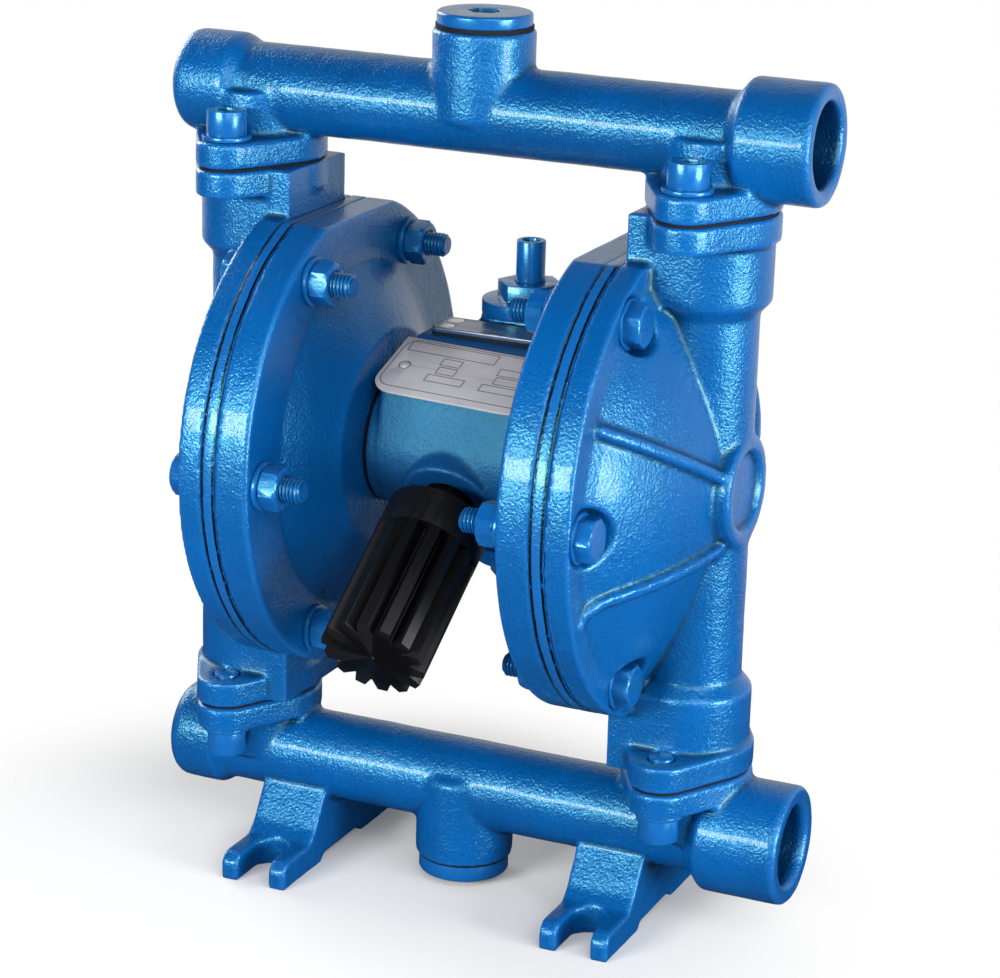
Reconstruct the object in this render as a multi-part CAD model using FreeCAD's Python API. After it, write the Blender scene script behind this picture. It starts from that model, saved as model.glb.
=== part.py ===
import FreeCAD
import Part
import math
import os

# Air-operated double diaphragm pump.
# X runs along the manifolds and the connecting rod, with the ports at the +X end.
# Y runs from front to back, Z is up, and the feet stand on Z = 0 either side of the origin.
# All values are in millimetres and degrees.

# Heights of the three main axes
rod_axis_z = 151.0
discharge_axis_z = 262.9
suction_axis_z = 33.9

# Clamped discs of the two chambers, given as distances from the middle plane
disc_radius = 77.5
disc_flat_half_height = 73.2
air_disc_inner_x = 42.1
air_disc_thickness = 11.5
diaphragm_rim_thickness = 4.9
fluid_disc_thickness = 8.2
disc_edge_round = 1.0
air_seam_x = air_disc_inner_x + air_disc_thickness
fluid_seam_x = air_seam_x + diaphragm_rim_thickness
fluid_disc_outer_x = fluid_seam_x + fluid_disc_thickness

# Hexagon bolts that clamp each pair of discs, three at the front and three behind.
# Their angles are measured at the rod axis, up from level.
disc_bolt_inset = 10.2
disc_bolt_upper_angle = 59.3
disc_bolt_middle_angle = -0.8
disc_bolt_lower_angle = -62.3
disc_bolt_radius = 4.0
disc_bolt_length = 39.5
disc_bolt_hole_radius = 4.5
disc_bolt_hex_across_flats = 13.0
disc_bolt_head_height = 5.3
disc_nut_height = 6.5
disc_washer_radius = 8.0
disc_washer_thickness = 1.6
disc_spot_face_radius = 9.3
disc_spot_face_depth = 1.6

# Pumping chamber behind each fluid cover
cavity_rim_radius = 55.0
cavity_rim_depth = 4.5
cavity_middle_radius = 40.0
cavity_middle_x = 75.5
cavity_floor_radius = 12.0
cavity_floor_x = 84.5

# Outer dome of each fluid cover
dome_rim_radius = 69.0
dome_foot_radius = 64.5
dome_foot_rise = 2.6
dome_middle_radius = 43.0
dome_middle_x = 81.5
dome_top_radius = 17.0
dome_top_x = 90.0
cover_boss_radius = 17.9
cover_boss_end_x = 95.2
cover_boss_recess_radius = 12.8
cover_boss_recess_depth = 2.2

# Ribs on the dome
dome_rib_width = 3.4
dome_rib_height = 2.6
upper_rib_angle = 27.3
lower_rib_drop = 15.8
lower_rib_angle = 6.9
lower_rib_straight_length = 56.5
lower_rib_curl_radius = 15.0
rim_rib_height = 1.5
boss_fin_thickness = 3.2
boss_fin_reach = 24.0

# Upright flow passage of each fluid cover
passage_axis_x = 79.0
passage_radius = 16.2
passage_bore_radius = 10.5
socket_radius = 19.8
socket_top_foot_z = 212.0
socket_bottom_top_z = 84.0
socket_shoulder = 4.0

# Two-bolt flanges between the covers and the manifolds
flange_waist_radius = 21.5
flange_lobe_radius = 10.0
flange_bolt_offset_y = 23.8
cover_flange_thickness = 8.6
manifold_flange_thickness = 8.4
flange_seal_thickness = 0.8
flange_seal_inset = 1.2
discharge_joint_z = 239.8
suction_joint_z = 57.3
manifold_screw_radius = 4.0
manifold_screw_length = 20.0
manifold_screw_hole_radius = 4.5
tapped_hole_radius = 4.2
cap_head_radius = 6.5
cap_head_height = 8.0
cap_socket_across_flats = 6.0
cap_socket_depth = 4.0
manifold_washer_radius = 8.0
manifold_washer_thickness = 1.6

# Ball check valves
ball_radius = 9.5
ball_gap = 0.3
ball_lift = 4.0
ball_cage_radius = 12.0
seat_throat_radius = 7.5
seat_mouth_radius = 9.0
seat_outer_radius = 13.5
seat_thickness = 5.0
seat_pocket_clearance = 0.15
cage_fin_count = 3
cage_fin_thickness = 2.4
cage_fin_inner_radius = 4.0
cage_fin_height = 5.0
ball_stop_radius = 3.0

# Discharge manifold
discharge_pipe_radius = 14.2
discharge_port_hub_radius = 19.05
discharge_port_end_x = 115.0
discharge_port_shoulder_x = 90.5
discharge_port_shoulder_length = 4.0
discharge_blind_hub_radius = 16.7
discharge_blind_end_x = -105.1
discharge_blind_shoulder_x = -86.0
discharge_blind_shoulder_length = 5.0
discharge_boss_rise = 11.5
discharge_boss_tongue_z = 259.3

# Suction manifold
suction_pipe_radius = 14.5
suction_port_hub_radius = 19.7
suction_port_end_x = 117.1
suction_port_shoulder_x = 89.5
suction_port_shoulder_length = 5.0
suction_blind_hub_radius = 17.0
suction_blind_end_x = -106.9
suction_blind_shoulder_x = -90.0
suction_blind_shoulder_length = 4.0
suction_boss_drop = 10.4
suction_boss_tongue_z = 39.0

# Values shared by both manifolds
manifold_bore_radius = 10.5
port_thread_radius = 13.2
port_thread_depth = 18.0
port_mouth_round = 2.2
port_rim_round = 1.6
blind_end_round = 4.5
blind_wall = 8.0
neck_radius = 17.2
boss_radius = 16.5
boss_tongue_radius = 15.0
boss_taper_length = 2.0
boss_bore_radius = 10.5
plug_flange_radius = 15.2
plug_flange_thickness = 4.0
drain_plug_flange_thickness = 5.6
plug_thread_clearance = 0.15
plug_thread_length = 12.0
plug_socket_across_flats = 10.0
plug_socket_depth = 6.0
plug_edge_round = 1.0
plug_gasket_thickness = 1.4
drain_gasket_thickness = 0.6
plug_gasket_radius = 15.6

# Feet under the suction manifold
foot_centre_x = 58.5
foot_width = 24.0
foot_half_depth = 43.0
foot_pad_thickness = 9.5
foot_slot_width = 11.5
foot_slot_end_y = 24.0
foot_web_low_y = 20.5
foot_web_low_z = 13.0
foot_web_high_y = 12.6
foot_web_high_z = 26.0
foot_relief_half_length = 13.0
foot_relief_height = 2.2
foot_tip_round = 3.0

# Air covers between the diaphragms and the centre body
hub_face_x = 29.3
air_floor_x = 35.0
air_hub_outer_radius = 38.0
air_cone_washer_gap = 2.3
air_cone_break_x = 31.5
air_floor_radius = 36.0
air_wall_radius = 52.5
air_wall_x = 46.0
air_bore_radius = 9.0
hub_gasket_thickness = 0.8
hub_gasket_inner_radius = 11.8
hub_screw_count = 4
hub_screw_circle_radius = 17.6
hub_screw_first_angle = 0.0
hub_screw_radius = 2.0
hub_screw_clearance_radius = 2.25
hub_screw_tapped_radius = 2.1
hub_screw_head_radius = 3.4
hub_screw_head_height = 3.0
hub_screw_length = 14.0
hub_screw_pilot_depth = 11.0
hub_screw_head_recess = 2.0

# Centre body: round about the rod axis at the front and below, with a leaning brow
# and a sloping face above it that carries the nameplate
body_half_width = 25.8
body_round_radius = 22.3
body_front_lean = 13.0
body_brow_rise = 22.7
body_slope = 22.1
body_top_rise = 33.6
body_rear_y = 27.0
body_neck_radius = 21.8
body_end_round = 1.6
body_duct_radius = 2.5

# Connecting rod, its guides and seals
rod_radius = 7.0
rod_running_clearance = 0.04
rod_bore_radius = 9.0
rod_bush_outer_radius = 10.5
rod_bush_length = 12.0
rod_seal_width = 3.5
rod_seal_outer_radius = 10.5
rod_stud_radius = 5.0
rod_stud_length = 20.6
rod_stroke = 7.0

# Diaphragms and the plates that carry them
diaphragm_web_thickness = 3.4
diaphragm_roll_height = 6.0
diaphragm_clamp_margin = 2.0
diaphragm_hole_radius = 5.2
inner_plate_radius = 38.0
inner_plate_thickness = 5.0
outer_plate_radius = 36.0
outer_plate_thickness = 4.2
plate_rim_drop = 1.8
plate_hub_radius = 14.0
plate_hole_radius = 5.15
plate_nut_across_flats = 16.0
plate_nut_height = 8.0

# Pilot rod that the diaphragm plates push at each end of the stroke
pilot_y = 9.5
pilot_drop = 12.9
pilot_radius = 3.0
pilot_running_clearance = 0.04
pilot_travel = 3.0
pilot_contact_gap = 0.3
pilot_waist_radius = 2.1
pilot_waist_half_length = 6.0
pilot_bush_outer_radius = 4.4
pilot_bush_length = 9.0
pilot_hole_radius = 3.6

# Exhaust silencer at the lower front
silencer_tilt = 34.1
silencer_collar_distance = 31.3
silencer_radius = 17.25
silencer_length = 56.4
silencer_collar_length = 13.1
silencer_rib_count = 14
silencer_first_rib_angle = 61.0
silencer_groove_depth = 4.65
silencer_rib_tip_share = 0.44
silencer_groove_floor_share = 0.05
silencer_nub_radius = 0.9
silencer_nub_height = 0.6
silencer_stem_radius = 8.0
silencer_stem_length = 16.0
silencer_bore_radius = 4.5
silencer_boss_radius = 15.6
silencer_boss_gap = 8.2
silencer_port_depth = 11.8
silencer_stem_clearance = 0.15

# Exhaust duct from the valve over the connecting rod to the silencer
exhaust_duct_radius = 3.0
exhaust_duct_back_y = 8.0
exhaust_duct_back_rise = 19.0
exhaust_duct_front_y = -14.0
exhaust_duct_front_rise = 16.0
exhaust_duct_end_rise = -4.0

# Air distribution valve at the back
valve_gasket_thickness = 1.6
valve_plate_thickness = 7.0
valve_plate_half_width = 23.8
valve_plate_bottom_z = 132.0
valve_plate_top_z = 184.5
valve_corner_round = 5.0
valve_axis_y = 42.0
valve_barrel_radius = 16.0
valve_barrel_bottom_z = 106.5
valve_barrel_top_z = 187.8
valve_sleeve_outer_radius = 10.0
valve_sleeve_wall = 2.5
valve_sleeve_clearance = 0.05
valve_sleeve_bottom_z = 130.0
valve_sleeve_top_z = 182.0
valve_port_radius = 2.0
valve_port_pitch = 10.0
spool_running_clearance = 0.04
spool_land_length = 8.0
spool_neck_radius = 4.0
spool_half_length = 20.0
valve_cap_thickness = 4.7
valve_cap_hex_across_flats = 19.5
valve_cap_hex_height = 6.0
valve_cap_spigot_radius = 9.8
valve_cap_spigot_length = 4.0
valve_plug_across_flats = 19.0
valve_plug_disc_height = 5.1
valve_plug_head_height = 6.0
valve_plug_spigot_length = 23.2
valve_plug_bore_radius = 6.0
valve_screw_radius = 2.0
valve_screw_hole_radius = 2.25
valve_screw_tapped_radius = 2.1
valve_screw_head_radius = 3.5
valve_screw_head_height = 4.0
valve_screw_socket_across_flats = 3.0
valve_screw_socket_depth = 2.0
valve_screw_length = 15.0
valve_screw_inset_x = 4.0
valve_screw_inset_z = 6.0
valve_duct_radius = 3.0
nipple_radius = 4.9
nipple_bore_radius = 3.1
nipple_top_z = 212.6
nipple_thread_length = 8.0
nipple_clearance = 0.15

# Lid on top of the centre body
lid_half_width = 21.5
lid_front_y = 9.7
lid_rear_y = 25.5
lid_corner_round = 2.5
lid_gasket_thickness = 1.1
lid_thickness = 1.4
lid_screw_inset = 4.0
lid_screw_head_radius = 3.0
lid_screw_head_depth = 1.4
lid_screw_radius = 1.5
lid_screw_length = 4.0
lid_screw_hole_radius = 1.7

# Nameplate on the sloping front of the centre body
plate_half_width = 28.5
plate_length = 29.4
plate_middle_x = 0.4
plate_middle_up = 9.0
plate_turn = 3.3
plate_thickness = 0.8
plate_gap = 0.05
plate_corner_round = 8.0
rivet_radius = 1.0
rivet_head_radius = 1.8
rivet_head_height = 0.6
rivet_inset_x = 6.4
rivet_length = 4.0
rivet_hole_clearance = 0.1

X_AXIS = FreeCAD.Vector(1, 0, 0)
Y_AXIS = FreeCAD.Vector(0, 1, 0)
Z_AXIS = FreeCAD.Vector(0, 0, 1)


def vec(x, y, z):
    return FreeCAD.Vector(x, y, z)


def cylinder(radius, start, end):
    """Return a round bar between two points."""
    span = end.sub(start)
    return Part.makeCylinder(radius, span.Length, start, span)


def cone(start_radius, end_radius, start, end):
    """Return a round taper between two points."""
    span = end.sub(start)
    return Part.makeCone(start_radius, end_radius, span.Length, start, span)


def ring(inner_radius, outer_radius, start, end):
    """Return a tube between two points."""
    return cylinder(outer_radius, start, end).cut(cylinder(inner_radius, start, end))


def box(low, high):
    """Return a block from its lowest and highest corners."""
    size = high.sub(low)
    return Part.makeBox(size.x, size.y, size.z, low)


def hexagon_bar(across_flats, start, end, turn=0.0):
    """Return a six-sided bar between two points."""
    span = end.sub(start)
    corner_radius = across_flats / math.sqrt(3.0)
    placement = FreeCAD.Placement(start, FreeCAD.Rotation(Z_AXIS, span))
    corners = []
    for index in range(7):
        angle = math.radians(60.0 * index + turn)
        corner = vec(corner_radius * math.cos(angle), corner_radius * math.sin(angle), 0)
        corners.append(placement.multVec(corner))
    return Part.Face(Part.makePolygon(corners)).extrude(span)


def arc_edge(start, middle, end):
    return Part.Arc(start, middle, end).toShape()


def line_edge(start, end):
    return Part.LineSegment(start, end).toShape()


def revolve_profile(edges, centre, axis):
    """Turn a closed outline of edges into a full body of revolution."""
    face = Part.Face(Part.Wire(edges))
    return face.revolve(centre, axis, 360.0)


def revolve_points(points, centre, axis, radial):
    """Revolve an outline given as (distance along the axis, radius) pairs."""
    corners = []
    for along, radius in points + points[:1]:
        corners.append(centre.add(axis * along).add(radial * radius))
    face = Part.Face(Part.makePolygon(corners))
    return face.revolve(centre, axis, 360.0)


def mirrored(shape):
    """Return the same shape on the other side of the middle plane."""
    return shape.mirror(vec(0, 0, 0), X_AXIS)


def side_point(side, x, y, z):
    return vec(side * x, y, z)


def disc_bolt_places():
    """Return the (y, z) places of the clamping bolts round the discs."""
    places = []
    for sy in (-1, 1):
        for degrees in (disc_bolt_upper_angle, disc_bolt_middle_angle, disc_bolt_lower_angle):
            angle = math.radians(degrees)
            y = sy * disc_bolt_circle_radius * math.cos(angle)
            places.append((y, rod_axis_z + disc_bolt_circle_radius * math.sin(angle)))
    return places


def trim_flats(shape):
    """Cut the flats at the top and the bottom of a disc."""
    reach = 2.0 * disc_radius
    band = box(
        vec(-reach, -reach, rod_axis_z - disc_flat_half_height),
        vec(reach, reach, rod_axis_z + disc_flat_half_height),
    )
    return shape.common(band)


def bolt_holes(start_x, end_x):
    """Return the clearance holes of the clamping bolts as one tool."""
    tools = []
    for y, z in disc_bolt_places():
        tools.append(cylinder(disc_bolt_hole_radius, vec(start_x, y, z), vec(end_x, y, z)))
    return Part.makeCompound(tools)


def flange_outline(waist_radius, lobe_radius, z):
    """Return the outline of a two-bolt flange: a round waist and two lobes."""
    centre = vec(passage_axis_x, 0, z)
    sine = (waist_radius - lobe_radius) / flange_bolt_offset_y
    cosine = math.sqrt(1.0 - sine * sine)
    edges = []
    waist = {}
    lobe = {}
    for sx in (-1, 1):
        for sy in (-1, 1):
            normal = vec(sx * cosine, sy * sine, 0)
            waist[(sx, sy)] = centre.add(normal * waist_radius)
            lobe[(sx, sy)] = centre.add(vec(0, sy * flange_bolt_offset_y, 0)).add(normal * lobe_radius)
    for sx in (-1, 1):
        side = centre.add(vec(sx * waist_radius, 0, 0))
        edges.append(arc_edge(waist[(sx, -1)], side, waist[(sx, 1)]))
        edges.append(line_edge(waist[(sx, -1)], lobe[(sx, -1)]))
        edges.append(line_edge(waist[(sx, 1)], lobe[(sx, 1)]))
    for sy in (-1, 1):
        tip = centre.add(vec(0, sy * (flange_bolt_offset_y + lobe_radius), 0))
        edges.append(arc_edge(lobe[(-1, sy)], tip, lobe[(1, sy)]))
    return Part.Wire(Part.__sortEdges__(edges))


def flange_plate(low_z, high_z, inset=0.0):
    """Return a solid two-bolt flange on the passage axis."""
    outline = flange_outline(flange_waist_radius - inset, flange_lobe_radius - inset, low_z)
    return Part.Face(outline).extrude(vec(0, 0, high_z - low_z))


def flange_screw_holes(low_z, high_z, radius):
    tools = []
    for sy in (-1, 1):
        y = sy * flange_bolt_offset_y
        tools.append(cylinder(radius, vec(passage_axis_x, y, low_z), vec(passage_axis_x, y, high_z)))
    return Part.makeCompound(tools)


# Places that follow from the values above
hub_duct_y = hub_screw_circle_radius * math.cos(math.radians(45.0))
hub_duct_z = rod_axis_z + hub_screw_circle_radius * math.sin(math.radians(45.0))
discharge_boss_top_z = discharge_axis_z + discharge_pipe_radius + discharge_boss_rise
suction_boss_end_z = suction_axis_z - suction_pipe_radius - suction_boss_drop
diaphragm_clamp_radius = outer_plate_radius + diaphragm_clamp_margin
disc_bolt_seat_x = fluid_disc_outer_x - disc_spot_face_depth + disc_washer_thickness
disc_bolt_circle_radius = disc_radius - disc_bolt_inset
air_cone_radius = disc_bolt_circle_radius - disc_washer_radius - air_cone_washer_gap
discharge_flange_z = discharge_joint_z + flange_seal_thickness
suction_flange_z = suction_joint_z - flange_seal_thickness
ball_rise = math.sqrt((ball_radius + ball_gap) ** 2 - seat_mouth_radius ** 2)
discharge_ball_z = discharge_joint_z + ball_rise
suction_ball_z = suction_flange_z + ball_rise


def seat_pocket(top_z):
    """Return the tool for the pocket of a valve seat whose top face is at top_z."""
    radius = seat_outer_radius + seat_pocket_clearance
    return cylinder(radius, vec(passage_axis_x, 0, top_z - seat_thickness), vec(passage_axis_x, 0, top_z))


def valve_seat(side, top_z, ball_z):
    """Return a seat ring with a spherical face that matches the ball."""
    axis_x = side * passage_axis_x
    low = vec(axis_x, 0, top_z - seat_thickness)
    high = vec(axis_x, 0, top_z)
    body = ring(seat_throat_radius, seat_outer_radius, low, high)
    return body.cut(Part.makeSphere(ball_radius + ball_gap, vec(axis_x, 0, ball_z)))


def check_ball(side, ball_z):
    return Part.makeSphere(ball_radius, vec(side * passage_axis_x, 0, ball_z))


def dome_profile(rise):
    """Return the outer outline of the dome as edges from the rim to the boss, raised by rise."""
    base = rod_axis_z
    rim = vec(fluid_disc_outer_x + rise, 0, base + dome_rim_radius)
    foot = vec(fluid_disc_outer_x + dome_foot_rise + rise, 0, base + dome_foot_radius)
    middle = vec(dome_middle_x + rise, 0, base + dome_middle_radius)
    top = vec(dome_top_x + rise, 0, base + dome_top_radius)
    top_axis = vec(dome_top_x + rise, 0, base)
    back_axis = vec(fluid_seam_x, 0, base)
    back_rim = vec(fluid_seam_x, 0, base + dome_rim_radius)
    return [
        line_edge(back_rim, rim),
        line_edge(rim, foot),
        arc_edge(foot, middle, top),
        line_edge(top, top_axis),
        line_edge(top_axis, back_axis),
        line_edge(back_axis, back_rim),
    ]


def raised_dome(rise):
    return revolve_profile(dome_profile(rise), vec(0, 0, rod_axis_z), X_AXIS)


def rib_room():
    """Return the body whose surface lies a rib's height above the dome and the rim."""
    rim_start = vec(fluid_seam_x, 0, rod_axis_z)
    rim_end = vec(fluid_disc_outer_x + rim_rib_height, 0, rod_axis_z)
    return raised_dome(dome_rib_height).fuse(cylinder(disc_radius - 3.0, rim_start, rim_end))


def pumping_cavity():
    """Return the tool for the hollow behind the dome."""
    base = rod_axis_z
    start = vec(fluid_seam_x, 0, base + cavity_rim_radius)
    shelf = vec(fluid_seam_x + cavity_rim_depth, 0, base + cavity_rim_radius)
    middle = vec(cavity_middle_x, 0, base + cavity_middle_radius)
    floor = vec(cavity_floor_x, 0, base + cavity_floor_radius)
    floor_axis = vec(cavity_floor_x, 0, base)
    back_axis = vec(fluid_seam_x, 0, base)
    edges = [
        line_edge(start, shelf),
        arc_edge(shelf, middle, floor),
        line_edge(floor, floor_axis),
        line_edge(floor_axis, back_axis),
        line_edge(back_axis, start),
    ]
    return revolve_profile(edges, vec(0, 0, rod_axis_z), X_AXIS)


def straight_rib():
    """Return the rib that runs from the boss straight up to the front of the rim."""
    length = dome_rim_radius
    strip = box(
        vec(fluid_seam_x, -length, rod_axis_z - dome_rib_width / 2.0),
        vec(dome_top_x + 2.0 * dome_rib_height, 0, rod_axis_z + dome_rib_width / 2.0),
    )
    strip.rotate(vec(0, 0, rod_axis_z), X_AXIS, -upper_rib_angle)
    return strip


def curled_rib():
    """Return the rib that leaves the boss low down and curls over at the front of the rim."""
    start_z = rod_axis_z - lower_rib_drop
    half = dome_rib_width / 2.0
    end_x = dome_top_x + 2.0 * dome_rib_height
    bend_y = -lower_rib_straight_length
    strip = box(vec(fluid_seam_x, bend_y, start_z - half), vec(end_x, 0, start_z + half))
    curl_z = start_z - lower_rib_curl_radius
    curl = ring(
        lower_rib_curl_radius - half,
        lower_rib_curl_radius + half,
        vec(fluid_seam_x, bend_y, curl_z),
        vec(end_x, bend_y, curl_z),
    )
    outer_corner = vec(fluid_seam_x, bend_y - 2.0 * lower_rib_curl_radius, curl_z)
    curl = curl.common(box(outer_corner, vec(end_x, bend_y, start_z + half)))
    rib = strip.fuse(curl)
    rib.rotate(vec(0, 0, start_z), X_AXIS, lower_rib_angle)
    return rib


def dome_ribs():
    """Return the ribs in front and their mirror images behind, standing a little above the dome."""
    front = straight_rib().fuse(curled_rib())
    strips = front.fuse(front.mirror(vec(0, 0, 0), Y_AXIS))
    return rib_room().common(strips)


def boss_fins():
    """Return the two small fins above and below the boss on the passage."""
    half = boss_fin_thickness / 2.0
    fins = []
    for up in (-1, 1):
        near_z = rod_axis_z + up * (cover_boss_radius - 1.5)
        far_z = rod_axis_z + up * (cover_boss_radius + boss_fin_reach)
        corners = [
            vec(passage_axis_x, -half, near_z),
            vec(cover_boss_end_x - 1.4, -half, near_z),
            vec(passage_axis_x + passage_radius - 0.6, -half, far_z),
            vec(passage_axis_x, -half, far_z),
            vec(passage_axis_x, -half, near_z),
        ]
        fins.append(Part.Face(Part.makePolygon(corners)).extrude(vec(0, 2.0 * half, 0)))
    return fins


def passage_column(start_z, end_z, radius):
    """Return a length of the upright passage: round outside and flat towards the disc."""
    axis_low = vec(passage_axis_x, 0, start_z)
    column = cylinder(radius, axis_low, vec(passage_axis_x, 0, end_z))
    web = box(vec(fluid_seam_x, -radius, start_z), vec(passage_axis_x, radius, end_z))
    return column.fuse(web)


def socket_body(flange_end_z, shoulder_z, narrow_z):
    """Return the wider end of the passage with its sloping shoulder."""
    low = min(flange_end_z, shoulder_z)
    high = max(flange_end_z, shoulder_z)
    wide = passage_column(low, high, socket_radius)
    axis_wide = vec(passage_axis_x, 0, shoulder_z)
    axis_narrow = vec(passage_axis_x, 0, narrow_z)
    return wide.fuse(cone(socket_radius, passage_radius, axis_wide, axis_narrow))


def cage_fins(ball_z, up_z):
    """Return the fins that stop a ball above its seat, reaching up to up_z."""
    fins = []
    low_z = ball_z + ball_lift + ball_radius + ball_gap
    outer = ball_cage_radius + 1.0
    for index in range(cage_fin_count):
        fin = box(
            vec(passage_axis_x + cage_fin_inner_radius, -cage_fin_thickness / 2.0, low_z),
            vec(passage_axis_x + outer, cage_fin_thickness / 2.0, up_z),
        )
        fin.rotate(vec(passage_axis_x, 0, 0), Z_AXIS, 360.0 * index / cage_fin_count)
        fins.append(fin)
    return fins


def fluid_cover():
    """Return the outer cover of the +X chamber with its passage, flanges and ribs."""
    base = vec(fluid_seam_x, 0, rod_axis_z)
    disc = cylinder(disc_radius, base, vec(fluid_disc_outer_x, 0, rod_axis_z))
    disc = trim_flats(disc)
    top_socket = socket_body(discharge_joint_z, socket_top_foot_z, socket_top_foot_z - socket_shoulder)
    bottom_socket = socket_body(suction_joint_z, socket_bottom_top_z, socket_bottom_top_z + socket_shoulder)
    column = cylinder(
        passage_radius,
        vec(passage_axis_x, 0, socket_bottom_top_z),
        vec(passage_axis_x, 0, socket_top_foot_z),
    )
    boss = cylinder(cover_boss_radius, base, vec(cover_boss_end_x, 0, rod_axis_z))
    top_flange = flange_plate(discharge_joint_z - cover_flange_thickness, discharge_joint_z)
    bottom_flange = flange_plate(suction_joint_z, suction_joint_z + cover_flange_thickness)
    pieces = [raised_dome(0.0), top_socket, bottom_socket, column, boss, top_flange, bottom_flange]
    pieces = pieces + boss_fins() + [dome_ribs()]
    cover = disc.fuse(pieces)

    recess = cylinder(
        cover_boss_recess_radius,
        vec(cover_boss_end_x - cover_boss_recess_depth, 0, rod_axis_z),
        vec(cover_boss_end_x + 1.0, 0, rod_axis_z),
    )
    passage_top = cylinder(
        passage_bore_radius,
        vec(passage_axis_x, 0, rod_axis_z + cavity_middle_radius / 2.0),
        vec(passage_axis_x, 0, discharge_joint_z),
    )
    cage_top_z = suction_ball_z + ball_lift + ball_radius + ball_gap + cage_fin_height
    passage_bottom = cylinder(
        passage_bore_radius,
        vec(passage_axis_x, 0, suction_joint_z),
        vec(passage_axis_x, 0, rod_axis_z - cavity_middle_radius / 2.0),
    )
    cage = cylinder(
        ball_cage_radius,
        vec(passage_axis_x, 0, suction_joint_z),
        vec(passage_axis_x, 0, cage_top_z),
    )
    spot_faces = []
    for y, z in disc_bolt_places():
        start = vec(fluid_disc_outer_x - disc_spot_face_depth, y, z)
        spot_faces.append(cylinder(disc_spot_face_radius, start, vec(dome_top_x, y, z)))
    cover = cover.cut([
        pumping_cavity(), recess, passage_top, passage_bottom, cage,
        seat_pocket(discharge_joint_z),
        bolt_holes(fluid_seam_x, fluid_disc_outer_x),
        flange_screw_holes(suction_joint_z, suction_joint_z + cover_flange_thickness, tapped_hole_radius),
        flange_screw_holes(discharge_joint_z - cover_flange_thickness, discharge_joint_z, tapped_hole_radius),
    ] + spot_faces)
    cover = cover.fuse(cage_fins(suction_ball_z, cage_top_z))
    return cover.removeSplitter()


def air_cover():
    """Return the dished cover between the +X diaphragm and the centre body."""
    face_x = hub_face_x + hub_gasket_thickness
    points = [
        (face_x, air_bore_radius),
        (face_x, air_hub_outer_radius - 2.0),
        (air_cone_break_x, air_hub_outer_radius),
        (air_disc_inner_x, air_cone_radius),
        (air_disc_inner_x, disc_radius - disc_edge_round),
        (air_disc_inner_x + disc_edge_round, disc_radius),
        (air_seam_x, disc_radius),
        (air_seam_x, cavity_rim_radius),
        (air_wall_x, air_wall_radius),
        (air_floor_x + 1.5, air_floor_radius + 1.5),
        (air_floor_x, air_floor_radius),
        (air_floor_x, air_bore_radius),
    ]
    body = revolve_points(points, vec(0, 0, rod_axis_z), X_AXIS, Z_AXIS)
    body = trim_flats(body)
    tools = [bolt_holes(air_disc_inner_x, air_seam_x)]
    for y, z in hub_screw_places():
        tools.append(cylinder(hub_screw_clearance_radius, vec(face_x, y, z), vec(air_floor_x, y, z)))
        seat_x = air_floor_x - hub_screw_head_recess
        tools.append(cylinder(hub_screw_head_radius + 0.4, vec(seat_x, y, z), vec(air_floor_x, y, z)))
    pilot_z = rod_axis_z - pilot_drop
    tools.append(cylinder(pilot_hole_radius, vec(face_x, pilot_y, pilot_z), vec(air_floor_x, pilot_y, pilot_z)))
    duct_start = vec(face_x, hub_duct_y, hub_duct_z)
    tools.append(cylinder(body_duct_radius, duct_start, vec(air_floor_x, hub_duct_y, hub_duct_z)))
    return body.cut(tools)


def hub_screw_places():
    """Return the (y, z) places of the screws that hold an air cover to the centre body."""
    places = []
    for index in range(hub_screw_count):
        angle = math.radians(hub_screw_first_angle + 360.0 * index / hub_screw_count)
        y = hub_screw_circle_radius * math.cos(angle)
        z = rod_axis_z + hub_screw_circle_radius * math.sin(angle)
        places.append((y, z))
    return places


def hub_gasket():
    start = vec(hub_face_x, 0, rod_axis_z)
    end = vec(hub_face_x + hub_gasket_thickness, 0, rod_axis_z)
    gasket = ring(hub_gasket_inner_radius, body_neck_radius - 0.5, start, end)
    tools = []
    for y, z in hub_screw_places():
        tools.append(cylinder(hub_screw_clearance_radius, vec(start.x, y, z), vec(end.x, y, z)))
    pilot_z = rod_axis_z - pilot_drop
    tools.append(cylinder(pilot_hole_radius, vec(start.x, pilot_y, pilot_z), vec(end.x, pilot_y, pilot_z)))
    duct_start = vec(start.x, hub_duct_y, hub_duct_z)
    tools.append(cylinder(body_duct_radius, duct_start, vec(end.x, hub_duct_y, hub_duct_z)))
    return gasket.cut(tools)


def hub_screws():
    """Return the low-headed screws of one air cover."""
    screws = []
    seat_x = air_floor_x - hub_screw_head_recess
    for y, z in hub_screw_places():
        shank = cylinder(hub_screw_radius, vec(seat_x - hub_screw_length, y, z), vec(seat_x, y, z))
        head = cylinder(hub_screw_head_radius, vec(seat_x, y, z), vec(seat_x + hub_screw_head_height, y, z))
        screws.append(head.fuse(shank).removeSplitter())
    return screws


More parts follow.
